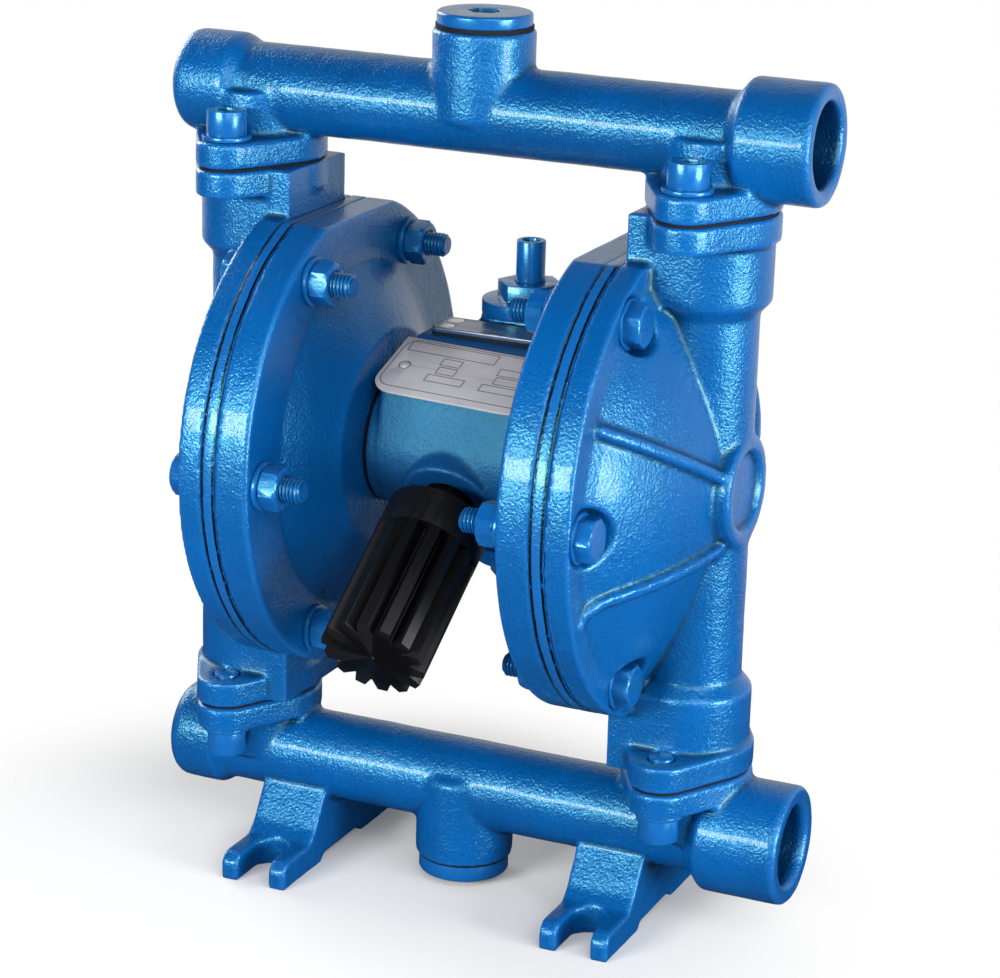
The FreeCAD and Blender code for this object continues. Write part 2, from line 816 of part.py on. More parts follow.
def diaphragm():
    """Return a moulded diaphragm with a clamped rim, one rolling fold and a flat middle."""
    thin = diaphragm_web_thickness
    clamp = diaphragm_clamp_radius
    rim = cavity_rim_radius - 1.0
    middle = (clamp + rim) / 2.0
    low_x = air_seam_x
    top = rod_axis_z

    def place(x, radius):
        return vec(x, 0, top + radius)

    edges = [
        line_edge(place(low_x, diaphragm_hole_radius), place(low_x, clamp)),
        arc_edge(place(low_x, clamp), place(low_x + diaphragm_roll_height, middle), place(low_x, rim)),
        line_edge(place(low_x, rim), place(low_x, disc_radius)),
        line_edge(place(low_x, disc_radius), place(fluid_seam_x, disc_radius)),
        line_edge(place(fluid_seam_x, disc_radius), place(fluid_seam_x, rim)),
        line_edge(place(fluid_seam_x, rim), place(low_x + thin, rim - 0.6)),
        arc_edge(
            place(low_x + thin, rim - 0.6),
            place(low_x + diaphragm_roll_height + thin - 0.6, middle),
            place(low_x + thin, clamp),
        ),
        line_edge(place(low_x + thin, clamp), place(low_x + thin, diaphragm_hole_radius)),
        line_edge(place(low_x + thin, diaphragm_hole_radius), place(low_x, diaphragm_hole_radius)),
    ]
    body = revolve_profile(edges, vec(0, 0, rod_axis_z), X_AXIS)
    return trim_flats(body).cut(bolt_holes(air_seam_x, fluid_seam_x))


inner_plate_face_x = air_seam_x - inner_plate_thickness
diaphragm_outer_face_x = air_seam_x + diaphragm_web_thickness
outer_plate_end_x = diaphragm_outer_face_x + outer_plate_thickness
plate_nut_end_x = outer_plate_end_x + plate_nut_height


def inner_plate():
    """Return the plate on the air side of the diaphragm."""
    points = [
        (inner_plate_face_x, plate_hole_radius),
        (inner_plate_face_x, inner_plate_radius - 6.0),
        (inner_plate_face_x + plate_rim_drop, inner_plate_radius),
        (air_seam_x - 1.0, inner_plate_radius),
        (air_seam_x, inner_plate_radius - 1.0),
        (air_seam_x, plate_hole_radius),
    ]
    return revolve_points(points, vec(0, 0, rod_axis_z), X_AXIS, Z_AXIS)


def outer_plate():
    """Return the dished plate on the fluid side of the diaphragm."""
    points = [
        (diaphragm_outer_face_x, plate_hole_radius),
        (diaphragm_outer_face_x, outer_plate_radius - 1.0),
        (diaphragm_outer_face_x + 1.0, outer_plate_radius),
        (diaphragm_outer_face_x + plate_rim_drop, outer_plate_radius),
        (outer_plate_end_x, plate_hub_radius),
        (outer_plate_end_x, plate_hole_radius),
    ]
    return revolve_points(points, vec(0, 0, rod_axis_z), X_AXIS, Z_AXIS)


def plate_nut(side):
    start = side_point(side, outer_plate_end_x, 0, rod_axis_z)
    end = side_point(side, plate_nut_end_x, 0, rod_axis_z)
    nut = hexagon_bar(plate_nut_across_flats, start, end)
    return nut.cut(cylinder(plate_hole_radius, start, end))


def connecting_rod():
    """Return the rod with a threaded stud at each end."""
    body = cylinder(
        rod_radius,
        vec(-inner_plate_face_x, 0, rod_axis_z),
        vec(inner_plate_face_x, 0, rod_axis_z),
    )
    stud_end = inner_plate_face_x + rod_stud_length
    stud = cylinder(rod_stud_radius, vec(-stud_end, 0, rod_axis_z), vec(stud_end, 0, rod_axis_z))
    return body.fuse(stud).removeSplitter()


def rod_bush(side):
    start = side_point(side, hub_face_x - rod_bush_length, 0, rod_axis_z)
    end = side_point(side, hub_face_x, 0, rod_axis_z)
    return ring(rod_radius + rod_running_clearance, rod_bush_outer_radius, start, end)


def rod_seal(side):
    outer_x = hub_face_x - rod_bush_length
    start = side_point(side, outer_x - rod_seal_width, 0, rod_axis_z)
    end = side_point(side, outer_x, 0, rod_axis_z)
    return ring(rod_radius + rod_running_clearance, rod_seal_outer_radius, start, end)


pilot_rest_gap = rod_stroke - pilot_travel + pilot_contact_gap
pilot_end_x = inner_plate_face_x - pilot_rest_gap


def pilot_rod():
    """Return the pilot rod with a waist in its middle."""
    z = rod_axis_z - pilot_drop
    body = cylinder(pilot_radius, vec(-pilot_end_x, pilot_y, z), vec(pilot_end_x, pilot_y, z))
    groove = ring(
        pilot_waist_radius,
        pilot_radius + 1.0,
        vec(-pilot_waist_half_length, pilot_y, z),
        vec(pilot_waist_half_length, pilot_y, z),
    )
    return body.cut(groove)


def pilot_bush(side):
    z = rod_axis_z - pilot_drop
    start = side_point(side, hub_face_x - pilot_bush_length, pilot_y, z)
    end = side_point(side, hub_face_x, pilot_y, z)
    return ring(pilot_radius + pilot_running_clearance, pilot_bush_outer_radius, start, end)


# Direction in which the silencer points, and the matching upward side direction
silencer_direction = vec(0, -math.cos(math.radians(silencer_tilt)), -math.sin(math.radians(silencer_tilt)))
silencer_side = vec(0, -math.sin(math.radians(silencer_tilt)), math.cos(math.radians(silencer_tilt)))
silencer_root = vec(0, 0, rod_axis_z).add(silencer_direction * silencer_collar_distance)

# Corners of the side outline of the centre body: top of the round front, brow and crest
lean = math.radians(body_front_lean)
body_top_z = rod_axis_z + body_top_rise
front_turn_y = -body_round_radius * math.cos(lean)
front_turn_z = rod_axis_z + body_round_radius * math.sin(lean)
brow_z = rod_axis_z + body_brow_rise
brow_y = front_turn_y + (brow_z - front_turn_z) * math.tan(lean)
crest_y = brow_y + (body_top_z - brow_z) / math.tan(math.radians(body_slope))


def along_silencer(distance):
    return silencer_root.add(silencer_direction * distance)


def centre_body_outline(x):
    """Return the side outline of the centre body in the plane at x."""
    bottom_z = rod_axis_z - body_round_radius
    rear_low = vec(x, body_rear_y, bottom_z)
    round_low = vec(x, 0, bottom_z)
    middle = math.radians((270.0 + 180.0 - body_front_lean) / 2.0)
    round_middle = vec(
        x,
        body_round_radius * math.cos(middle),
        rod_axis_z + body_round_radius * math.sin(middle),
    )
    front_turn = vec(x, front_turn_y, front_turn_z)
    brow = vec(x, brow_y, brow_z)
    crest = vec(x, crest_y, body_top_z)
    rear_top = vec(x, body_rear_y, body_top_z)
    return Part.Wire([
        line_edge(rear_low, round_low),
        arc_edge(round_low, round_middle, front_turn),
        line_edge(front_turn, brow),
        line_edge(brow, crest),
        line_edge(crest, rear_top),
        line_edge(rear_top, rear_low),
    ])


def valve_screw_places():
    """Return the (x, z) places of the screws through the valve plate."""
    x = valve_plate_half_width - valve_screw_inset_x
    low_z = valve_plate_bottom_z + valve_screw_inset_z
    high_z = valve_plate_top_z - valve_screw_inset_z
    return [(-x, low_z), (x, low_z), (-x, high_z), (x, high_z)]


def rounded_plate(half_width, low_z, high_z, start_y, end_y, corner_radius):
    """Return an upright plate with rounded corners, seen from the back."""
    plate = box(vec(-half_width, start_y, low_z), vec(half_width, end_y, high_z))
    edges = []
    for edge in plate.Edges:
        ends = edge.Vertexes
        if abs(ends[0].Y - ends[1].Y) > 0.5 * abs(end_y - start_y):
            edges.append(edge)
    return plate.makeFillet(corner_radius, edges)


valve_gasket_y = body_rear_y + valve_gasket_thickness
valve_plate_y = valve_gasket_y + valve_plate_thickness
valve_middle_z = (valve_sleeve_bottom_z + valve_sleeve_top_z) / 2.0


def valve_ducts(start_y, end_y):
    """Return the air ducts that cross the joint between the valve and the centre body."""
    tools = []
    for index in (-1, 0, 1):
        z = valve_middle_z + index * valve_port_pitch
        tools.append(cylinder(valve_duct_radius, vec(0, start_y, z), vec(0, end_y, z)))
    return tools


def body_ducts():
    """Return the air ducts to both chambers and the exhaust duct to the silencer."""
    tools = []
    for side in (-1, 1):
        start = vec(0, body_rear_y, valve_middle_z - side * valve_port_pitch)
        end = side_point(side, hub_face_x, hub_duct_y, hub_duct_z)
        tools.append(cylinder(body_duct_radius, start, end))
    stations = [
        vec(0, body_rear_y, valve_middle_z),
        vec(0, exhaust_duct_back_y, rod_axis_z + exhaust_duct_back_rise),
        vec(0, exhaust_duct_front_y, rod_axis_z + exhaust_duct_front_rise),
        vec(0, exhaust_duct_front_y, rod_axis_z + exhaust_duct_end_rise),
    ]
    for start, end in zip(stations, stations[1:]):
        tools.append(cylinder(exhaust_duct_radius, start, end))
        tools.append(Part.makeSphere(exhaust_duct_radius, end))
    return tools


def centre_body():
    """Return the centre body that carries the rod, the valve and the silencer."""
    face = Part.Face(centre_body_outline(-body_half_width))
    block = face.extrude(vec(2.0 * body_half_width, 0, 0))
    ends = []
    for edge in block.Edges:
        box_of_edge = edge.BoundBox
        if box_of_edge.XLength < 0.01 and box_of_edge.YMin < body_rear_y - 0.01:
            ends.append(edge)
    block = block.makeFillet(body_end_round, ends)
    neck = cylinder(body_neck_radius, vec(-hub_face_x, 0, rod_axis_z), vec(hub_face_x, 0, rod_axis_z))
    boss_face = along_silencer(-silencer_boss_gap)
    port_floor = along_silencer(-silencer_boss_gap - silencer_port_depth)
    boss = cylinder(silencer_boss_radius, port_floor, boss_face)
    body = block.fuse([neck, boss])

    pilot_z = rod_axis_z - pilot_drop
    end = vec(hub_face_x, 0, rod_axis_z)
    start = vec(-hub_face_x, 0, rod_axis_z)
    tools = [cylinder(rod_bore_radius, start, end)]
    tools.append(cylinder(pilot_hole_radius, vec(start.x, pilot_y, pilot_z), vec(end.x, pilot_y, pilot_z)))
    seal_depth = rod_bush_length + rod_seal_width
    for side in (-1, 1):
        outer = side_point(side, hub_face_x, 0, rod_axis_z)
        inner = side_point(side, hub_face_x - seal_depth, 0, rod_axis_z)
        tools.append(cylinder(rod_bush_outer_radius, inner, outer))
        pilot_outer = side_point(side, hub_face_x, pilot_y, pilot_z)
        pilot_inner = side_point(side, hub_face_x - pilot_bush_length, pilot_y, pilot_z)
        tools.append(cylinder(pilot_bush_outer_radius, pilot_inner, pilot_outer))
        for y, z in hub_screw_places():
            hole_end = side_point(side, hub_face_x - hub_screw_pilot_depth, y, z)
            tools.append(cylinder(hub_screw_tapped_radius, hole_end, side_point(side, hub_face_x, y, z)))
    tools.append(cylinder(silencer_stem_radius + silencer_stem_clearance, port_floor, boss_face))
    tools = tools + body_ducts()
    for x, z in valve_screw_places():
        depth = valve_screw_length - valve_plate_thickness
        floor = vec(x, body_rear_y - depth, z)
        tools.append(cylinder(valve_screw_tapped_radius, floor, vec(x, body_rear_y, z)))
    for x, y in lid_screw_places():
        hole_end = vec(x, y, body_top_z - lid_screw_length)
        tools.append(cylinder(lid_screw_hole_radius, hole_end, vec(x, y, body_top_z)))
    for place in rivet_places():
        tools.append(cylinder(
            rivet_radius + rivet_hole_clearance,
            place.sub(plate_normal * rivet_length),
            place.add(plate_normal),
        ))
    return body.cut(tools).removeSplitter()


# Sloping face that carries the nameplate
plate_run = vec(0, crest_y - brow_y, body_top_z - brow_z).normalize()
plate_normal = vec(0, -plate_run.z, plate_run.y)
plate_middle = vec(plate_middle_x, brow_y, brow_z).add(plate_run * plate_middle_up)


def plate_place(x, up, out):
    """Return a point on the nameplate: across, up the slope from its middle, and out from it."""
    turn = math.radians(plate_turn)
    across = x * math.cos(turn) + up * math.sin(turn)
    rise = up * math.cos(turn) - x * math.sin(turn)
    return vec(across, 0, 0).add(plate_middle).add(plate_run * rise).add(plate_normal * out)


def rivet_places():
    """Return where the two rivets of the nameplate enter the centre body."""
    x = plate_half_width - rivet_inset_x
    return [plate_place(-x, 0.0, 0.0), plate_place(x, 0.0, 0.0)]


def lid_screw_places():
    """Return the (x, y) places of the screws in the lid."""
    x = lid_half_width - lid_screw_inset
    front = lid_front_y + lid_screw_inset
    rear = lid_rear_y - lid_screw_inset
    return [(-x, front), (x, front), (-x, rear), (x, rear)]


def lid_plate(low_z, high_z):
    """Return a flat plate with the rounded outline of the lid."""
    low = vec(-lid_half_width, lid_front_y, low_z)
    plate = box(low, vec(lid_half_width, lid_rear_y, high_z))
    corners = [edge for edge in plate.Edges if edge.BoundBox.ZLength > 0.5 * (high_z - low_z)]
    return plate.makeFillet(lid_corner_round, corners)


def lid_screws():
    """Return the countersunk screws of the lid."""
    top_z = body_top_z + lid_gasket_thickness + lid_thickness
    screws = []
    for x, y in lid_screw_places():
        neck = vec(x, y, top_z - lid_screw_head_depth)
        head = cone(lid_screw_radius, lid_screw_head_radius, neck, vec(x, y, top_z))
        shank_end = vec(x, y, body_top_z - lid_screw_length + 0.5)
        screws.append(head.fuse(cylinder(lid_screw_radius, shank_end, neck)).removeSplitter())
    return screws


def lid_gasket():
    gasket = lid_plate(body_top_z, body_top_z + lid_gasket_thickness)
    tools = []
    for x, y in lid_screw_places():
        start = vec(x, y, body_top_z)
        tools.append(cylinder(lid_screw_hole_radius + 0.4, start, start.add(Z_AXIS * lid_gasket_thickness)))
    return gasket.cut(tools)


def lid():
    low_z = body_top_z + lid_gasket_thickness
    high_z = low_z + lid_thickness
    plate = lid_plate(low_z, high_z)
    gap = lid_screw_hole_radius - lid_screw_radius
    tools = []
    for x, y in lid_screw_places():
        neck_z = high_z - lid_screw_head_depth
        tools.append(cone(
            lid_screw_radius + gap, lid_screw_head_radius + gap, vec(x, y, neck_z), vec(x, y, high_z),
        ))
        tools.append(cylinder(lid_screw_hole_radius, vec(x, y, low_z - 0.5), vec(x, y, high_z)))
    return plate.cut(tools)


def nameplate():
    """Return the thin plate with round corners at its lower edge."""
    low = -plate_length / 2.0
    high = plate_length / 2.0
    corners = []
    steps = 6
    for sx, start_angle in ((-1, 180.0), (1, 270.0)):
        centre_x = sx * (plate_half_width - plate_corner_round)
        for index in range(steps + 1):
            angle = math.radians(start_angle + 90.0 * index / steps)
            x = centre_x + plate_corner_round * math.cos(angle)
            up = low + plate_corner_round + plate_corner_round * math.sin(angle)
            corners.append(plate_place(x, up, plate_gap))
    corners.append(plate_place(plate_half_width, high, plate_gap))
    corners.append(plate_place(-plate_half_width, high, plate_gap))
    corners.append(corners[0])
    plate = Part.Face(Part.makePolygon(corners)).extrude(plate_normal * plate_thickness)
    tools = []
    for place in rivet_places():
        start = place.sub(plate_normal)
        tools.append(cylinder(rivet_radius + rivet_hole_clearance, start, place.add(plate_normal * 3.0)))
    return plate.cut(tools)


def nameplate_rivets():
    rivets = []
    top = plate_gap + plate_thickness
    for place in rivet_places():
        seat = place.add(plate_normal * top)
        shank = cylinder(rivet_radius, place.sub(plate_normal * (rivet_length - 0.5)), seat)
        head = cone(rivet_head_radius, rivet_radius, seat, seat.add(plate_normal * rivet_head_height))
        rivets.append(head.fuse(shank))
    return rivets


def silencer_section(distance):
    """Return the toothed outline of the silencer at a distance along its axis."""
    centre = along_silencer(distance)
    floor_radius = silencer_radius - silencer_groove_depth
    pitch = 2.0 * math.pi / silencer_rib_count
    tip = silencer_rib_tip_share * pitch / 2.0
    floor = silencer_groove_floor_share * pitch / 2.0
    corners = []
    for index in range(silencer_rib_count):
        middle = math.radians(silencer_first_rib_angle) + index * pitch
        stations = (
            (middle - tip, silencer_radius),
            (middle + tip, silencer_radius),
            (middle + pitch / 2.0 - floor, floor_radius),
            (middle + pitch / 2.0 + floor, floor_radius),
        )
        for angle, radius in stations:
            offset = X_AXIS * (radius * math.cos(angle))
            corners.append(centre.add(offset).add(silencer_side * (radius * math.sin(angle))))
    corners.append(corners[0])
    return Part.Face(Part.makePolygon(corners))


def silencer():
    """Return the ribbed silencer with its plain collar and threaded stem."""
    collar_start = along_silencer(0.0)
    ribbed = silencer_section(silencer_collar_length - 1.0).extrude(
        silencer_direction * (silencer_length - silencer_collar_length + 1.0)
    )
    collar = cylinder(silencer_radius, collar_start, along_silencer(silencer_collar_length))
    stem = cylinder(silencer_stem_radius, along_silencer(-silencer_stem_length), collar_start)
    end = along_silencer(silencer_length)
    nub = cylinder(silencer_nub_radius, end, along_silencer(silencer_length + silencer_nub_height))
    body = collar.fuse([ribbed, stem, nub])
    bore_end = along_silencer(silencer_length - 6.0)
    bore = cylinder(silencer_bore_radius, along_silencer(-silencer_stem_length), bore_end)
    return body.cut(bore).removeSplitter()


def valve_gasket():
    gasket = rounded_plate(
        valve_plate_half_width, valve_plate_bottom_z, valve_plate_top_z,
        body_rear_y, valve_gasket_y, valve_corner_round,
    )
    tools = valve_ducts(body_rear_y, valve_gasket_y)
    for x, z in valve_screw_places():
        tools.append(cylinder(valve_screw_hole_radius, vec(x, body_rear_y, z), vec(x, valve_gasket_y, z)))
    return gasket.cut(tools)


def valve_body():
    """Return the housing of the air valve: a bolted plate and an upright barrel."""
    plate = rounded_plate(
        valve_plate_half_width, valve_plate_bottom_z, valve_plate_top_z,
        valve_gasket_y, valve_plate_y, valve_corner_round,
    )
    barrel = cylinder(
        valve_barrel_radius,
        vec(0, valve_axis_y, valve_barrel_bottom_z),
        vec(0, valve_axis_y, valve_barrel_top_z),
    )
    front = box(
        vec(-valve_barrel_radius, valve_axis_y - 2.0 * valve_barrel_radius, valve_barrel_bottom_z),
        vec(valve_barrel_radius, valve_gasket_y, valve_barrel_top_z),
    )
    body = plate.fuse(barrel).cut(front)
    low = vec(0, valve_axis_y, valve_barrel_bottom_z)
    high = vec(0, valve_axis_y, valve_barrel_top_z)
    tools = [cylinder(valve_sleeve_outer_radius + valve_sleeve_clearance, low, high)]
    tools = tools + valve_ducts(valve_gasket_y, valve_axis_y)
    for x, z in valve_screw_places():
        tools.append(cylinder(valve_screw_hole_radius, vec(x, valve_gasket_y, z), vec(x, valve_plate_y, z)))
    return body.cut(tools).removeSplitter()


def valve_screws():
    screws = []
    for x, z in valve_screw_places():
        seat_y = valve_plate_y
        shank = cylinder(valve_screw_radius, vec(x, seat_y - valve_screw_length, z), vec(x, seat_y, z))
        head_end = vec(x, seat_y + valve_screw_head_height, z)
        head = cylinder(valve_screw_head_radius, vec(x, seat_y, z), head_end)
        socket_floor = vec(x, head_end.y - valve_screw_socket_depth, z)
        socket = hexagon_bar(valve_screw_socket_across_flats, socket_floor, head_end)
        screws.append(head.fuse(shank).cut(socket).removeSplitter())
    return screws


def valve_sleeve():
    """Return the ported sleeve that the spool slides in."""
    low = vec(0, valve_axis_y, valve_sleeve_bottom_z)
    high = vec(0, valve_axis_y, valve_sleeve_top_z)
    sleeve = ring(valve_sleeve_outer_radius - valve_sleeve_wall, valve_sleeve_outer_radius, low, high)
    tools = []
    reach = valve_sleeve_outer_radius + 1.0
    for index in (-1, 0, 1):
        z = valve_middle_z + index * valve_port_pitch
        front = vec(0, valve_axis_y - reach, z)
        tools.append(cylinder(valve_port_radius, front, vec(0, valve_axis_y, z)))
    return sleeve.cut(tools)


def valve_spool():
    """Return the spool with three lands and two necks."""
    land_radius = valve_sleeve_outer_radius - valve_sleeve_wall - spool_running_clearance
    core = cylinder(
        spool_neck_radius,
        vec(0, valve_axis_y, valve_middle_z - spool_half_length),
        vec(0, valve_axis_y, valve_middle_z + spool_half_length),
    )
    lands = []
    step = spool_half_length - spool_land_length / 2.0
    for index in (-1, 0, 1):
        z = valve_middle_z + index * step
        low = vec(0, valve_axis_y, z - spool_land_length / 2.0)
        lands.append(cylinder(land_radius, low, vec(0, valve_axis_y, z + spool_land_length / 2.0)))
    return core.fuse(lands).removeSplitter()


def valve_cap():
    """Return the hexagon-headed cap that closes the top of the valve barrel."""
    low = vec(0, valve_axis_y, valve_barrel_top_z)
    top = vec(0, valve_axis_y, valve_barrel_top_z + valve_cap_thickness)
    hex_top = vec(0, valve_axis_y, top.z + valve_cap_hex_height)
    disc = cylinder(valve_barrel_radius, low, top)
    head = hexagon_bar(valve_cap_hex_across_flats, top, hex_top, 10.0)
    spigot_low = vec(0, valve_axis_y, valve_barrel_top_z - valve_cap_spigot_length)
    spigot = cylinder(valve_cap_spigot_radius, spigot_low, low)
    body = disc.fuse([head, spigot])
    thread_low = vec(0, valve_axis_y, hex_top.z - nipple_thread_length)
    thread = cylinder(nipple_radius + nipple_clearance, thread_low, hex_top)
    bore = cylinder(nipple_bore_radius, spigot_low, hex_top)
    return body.cut([thread, bore]).removeSplitter()


def air_inlet_nipple():
    low_z = valve_barrel_top_z + valve_cap_thickness + valve_cap_hex_height - nipple_thread_length
    low = vec(0, valve_axis_y, low_z)
    return ring(nipple_bore_radius, nipple_radius, low, vec(0, valve_axis_y, nipple_top_z))


def valve_bottom_plug():
    seat = vec(0, valve_axis_y, valve_barrel_bottom_z)
    head_end_z = valve_barrel_bottom_z - valve_plug_disc_height - valve_plug_head_height
    head_end = vec(0, valve_axis_y, head_end_z)
    spigot_end = vec(0, valve_axis_y, valve_barrel_bottom_z + valve_plug_spigot_length)
    disc_end = vec(0, valve_axis_y, valve_barrel_bottom_z - valve_plug_disc_height)
    head = hexagon_bar(valve_plug_across_flats, head_end, disc_end, 10.0)
    flange = cylinder(valve_barrel_radius, disc_end, seat)
    spigot = ring(valve_plug_bore_radius, valve_cap_spigot_radius, seat, spigot_end)
    return head.fuse([flange, spigot]).removeSplitter()


def port_bore(end_x, axis_z):
    """Return the tool for a threaded port with a rounded mouth."""
    edge_x = end_x - port_mouth_round
    mouth = port_thread_radius + port_mouth_round
    centre = vec(0, 0, axis_z)
    start_x = end_x - port_thread_depth
    turn = math.sin(math.radians(45.0)) * port_mouth_round
    edges = [
        line_edge(vec(start_x, 0, axis_z), vec(start_x, 0, axis_z + port_thread_radius)),
        line_edge(vec(start_x, 0, axis_z + port_thread_radius), vec(edge_x, 0, axis_z + port_thread_radius)),
        arc_edge(
            vec(edge_x, 0, axis_z + port_thread_radius),
            vec(edge_x + turn, 0, axis_z + mouth - turn),
            vec(end_x, 0, axis_z + mouth),
        ),
        line_edge(vec(end_x, 0, axis_z + mouth), vec(end_x, 0, axis_z)),
        line_edge(vec(end_x, 0, axis_z), vec(start_x, 0, axis_z)),
    ]
    return revolve_profile(edges, centre, X_AXIS)


def port_hub(end_x, shoulder_x, shoulder_length, pipe_radius, hub_radius, axis_z):
    """Return the outside of a port hub with a sloping shoulder and a rounded rim."""
    base = axis_z
    start_x = shoulder_x - shoulder_length
    round_in = port_rim_round * (1.0 - math.sin(math.radians(45.0)))
    edges = [
        line_edge(vec(start_x, 0, base), vec(start_x, 0, base + pipe_radius)),
        line_edge(vec(start_x, 0, base + pipe_radius), vec(shoulder_x, 0, base + hub_radius)),
        line_edge(vec(shoulder_x, 0, base + hub_radius), vec(end_x - port_rim_round, 0, base + hub_radius)),
        arc_edge(
            vec(end_x - port_rim_round, 0, base + hub_radius),
            vec(end_x - round_in, 0, base + hub_radius - round_in),
            vec(end_x, 0, base + hub_radius - port_rim_round),
        ),
        line_edge(vec(end_x, 0, base + hub_radius - port_rim_round), vec(end_x, 0, base)),
        line_edge(vec(end_x, 0, base), vec(start_x, 0, base)),
    ]
    return revolve_profile(edges, vec(0, 0, axis_z), X_AXIS)


def blind_hub(end_x, shoulder_x, shoulder_length, pipe_radius, hub_radius, axis_z):
    """Return the closed end of a manifold with its large rim rounding."""
    base = axis_z
    start_x = shoulder_x + shoulder_length
    inner = end_x + blind_end_round
    turn = blind_end_round * (1.0 - math.sin(math.radians(45.0)))
    edges = [
        line_edge(vec(start_x, 0, base), vec(start_x, 0, base + pipe_radius)),
        line_edge(vec(start_x, 0, base + pipe_radius), vec(shoulder_x, 0, base + hub_radius)),
        line_edge(vec(shoulder_x, 0, base + hub_radius), vec(inner, 0, base + hub_radius)),
        arc_edge(
            vec(inner, 0, base + hub_radius),
            vec(end_x + turn, 0, base + hub_radius - turn),
            vec(end_x, 0, base + hub_radius - blind_end_round),
        ),
        line_edge(vec(end_x, 0, base + hub_radius - blind_end_round), vec(end_x, 0, base)),
        line_edge(vec(end_x, 0, base), vec(start_x, 0, base)),
    ]
    return revolve_profile(edges, vec(0, 0, axis_z), X_AXIS)


def manifold_necks(flange_low_z, flange_high_z, axis_z, toward_pipe):
    """Return the flanges and the short necks that join them to the pipe, at both ends."""
    flange = flange_plate(flange_low_z, flange_high_z)
    joint = flange_low_z if toward_pipe > 0 else flange_high_z
    neck = cylinder(neck_radius, vec(passage_axis_x, 0, joint), vec(passage_axis_x, 0, axis_z))
    one = flange.fuse(neck)
    return [one, mirrored(one)]


def discharge_manifold():
    """Return the upper manifold: a pipe with a port, a closed end, two flanges and a boss."""
    axis_z = discharge_axis_z
    pipe = cylinder(
        discharge_pipe_radius,
        vec(discharge_blind_shoulder_x, 0, axis_z),
        vec(discharge_port_shoulder_x, 0, axis_z),
    )
    hub = port_hub(
        discharge_port_end_x, discharge_port_shoulder_x, discharge_port_shoulder_length,
        discharge_pipe_radius, discharge_port_hub_radius, axis_z,
    )
    blind = blind_hub(
        discharge_blind_end_x, discharge_blind_shoulder_x, discharge_blind_shoulder_length,
        discharge_pipe_radius, discharge_blind_hub_radius, axis_z,
    )
    flange_high_z = discharge_flange_z + manifold_flange_thickness
    necks = manifold_necks(discharge_flange_z, flange_high_z, axis_z, 1)
    taper_top_z = discharge_boss_tongue_z + boss_taper_length
    boss = cylinder(boss_radius, vec(0, 0, taper_top_z), vec(0, 0, discharge_boss_top_z))
    tongue = cone(boss_tongue_radius, boss_radius, vec(0, 0, discharge_boss_tongue_z), vec(0, 0, taper_top_z))
    body = pipe.fuse([hub, blind, boss, tongue] + necks)

    bore = cylinder(
        manifold_bore_radius,
        vec(discharge_blind_end_x + blind_wall, 0, axis_z),
        vec(discharge_port_end_x - port_thread_depth, 0, axis_z),
    )
    tools = [bore, port_bore(discharge_port_end_x, axis_z)]
    tools.append(cylinder(boss_bore_radius, vec(0, 0, axis_z), vec(0, 0, discharge_boss_top_z)))
    axis_crossing = vec(passage_axis_x, 0, axis_z)
    ball_room = cylinder(ball_cage_radius, vec(passage_axis_x, 0, discharge_flange_z), axis_crossing)
    tools = tools + [ball_room, mirrored(ball_room)]
    holes = flange_screw_holes(discharge_flange_z, flange_high_z, manifold_screw_hole_radius)
    seats = flange_screw_holes(flange_high_z, flange_high_z + 3.0, manifold_washer_radius + 0.3)
    tools = tools + [holes, mirrored(holes), seats, mirrored(seats)]
    body = body.cut(tools)
    stop_low_z = discharge_ball_z + ball_lift + ball_radius + ball_gap
    stop = cylinder(
        ball_stop_radius,
        vec(passage_axis_x, 0, stop_low_z),
        vec(passage_axis_x, 0, axis_z + manifold_bore_radius + 1.0),
    )
    return body.fuse([stop, mirrored(stop)]).removeSplitter()


def foot():
    """Return one foot: a slotted pad under a web that rises to the pipe."""
    low_x = foot_centre_x - foot_width / 2.0
    outline = [
        (-foot_half_depth, 0.0),
        (-foot_half_depth, foot_pad_thickness - foot_tip_round),
        (-foot_half_depth + foot_tip_round, foot_pad_thickness),
        (-foot_web_low_y - 4.0, foot_pad_thickness),
        (-foot_web_low_y, foot_web_low_z),
        (-foot_web_high_y, foot_web_high_z),
        (-foot_web_high_y, suction_axis_z),
    ]
    points = [vec(low_x, y, z) for y, z in outline]
    points = points + [vec(low_x, -y, z) for y, z in reversed(outline)]
    points.append(vec(low_x, foot_relief_half_length + foot_relief_height, 0.0))
    points.append(vec(low_x, foot_relief_half_length, foot_relief_height))
    points.append(vec(low_x, -foot_relief_half_length, foot_relief_height))
    points.append(vec(low_x, -foot_relief_half_length - foot_relief_height, 0.0))
    points.append(points[0])
    body = Part.Face(Part.makePolygon(points)).extrude(vec(foot_width, 0, 0))
    tools = []
    slot_radius = foot_slot_width / 2.0
    for sy in (-1, 1):
        end_y = sy * (foot_slot_end_y + slot_radius)
        far_y = sy * (foot_half_depth + 5.0)
        top_z = foot_pad_thickness + 8.0
        low_y = min(end_y, far_y)
        high_y = max(end_y, far_y)
        tools.append(box(
            vec(foot_centre_x - slot_radius, low_y, -1.0),
            vec(foot_centre_x + slot_radius, high_y, top_z),
        ))
        tools.append(cylinder(slot_radius, vec(foot_centre_x, end_y, -1.0), vec(foot_centre_x, end_y, top_z)))
    return body.cut(tools)


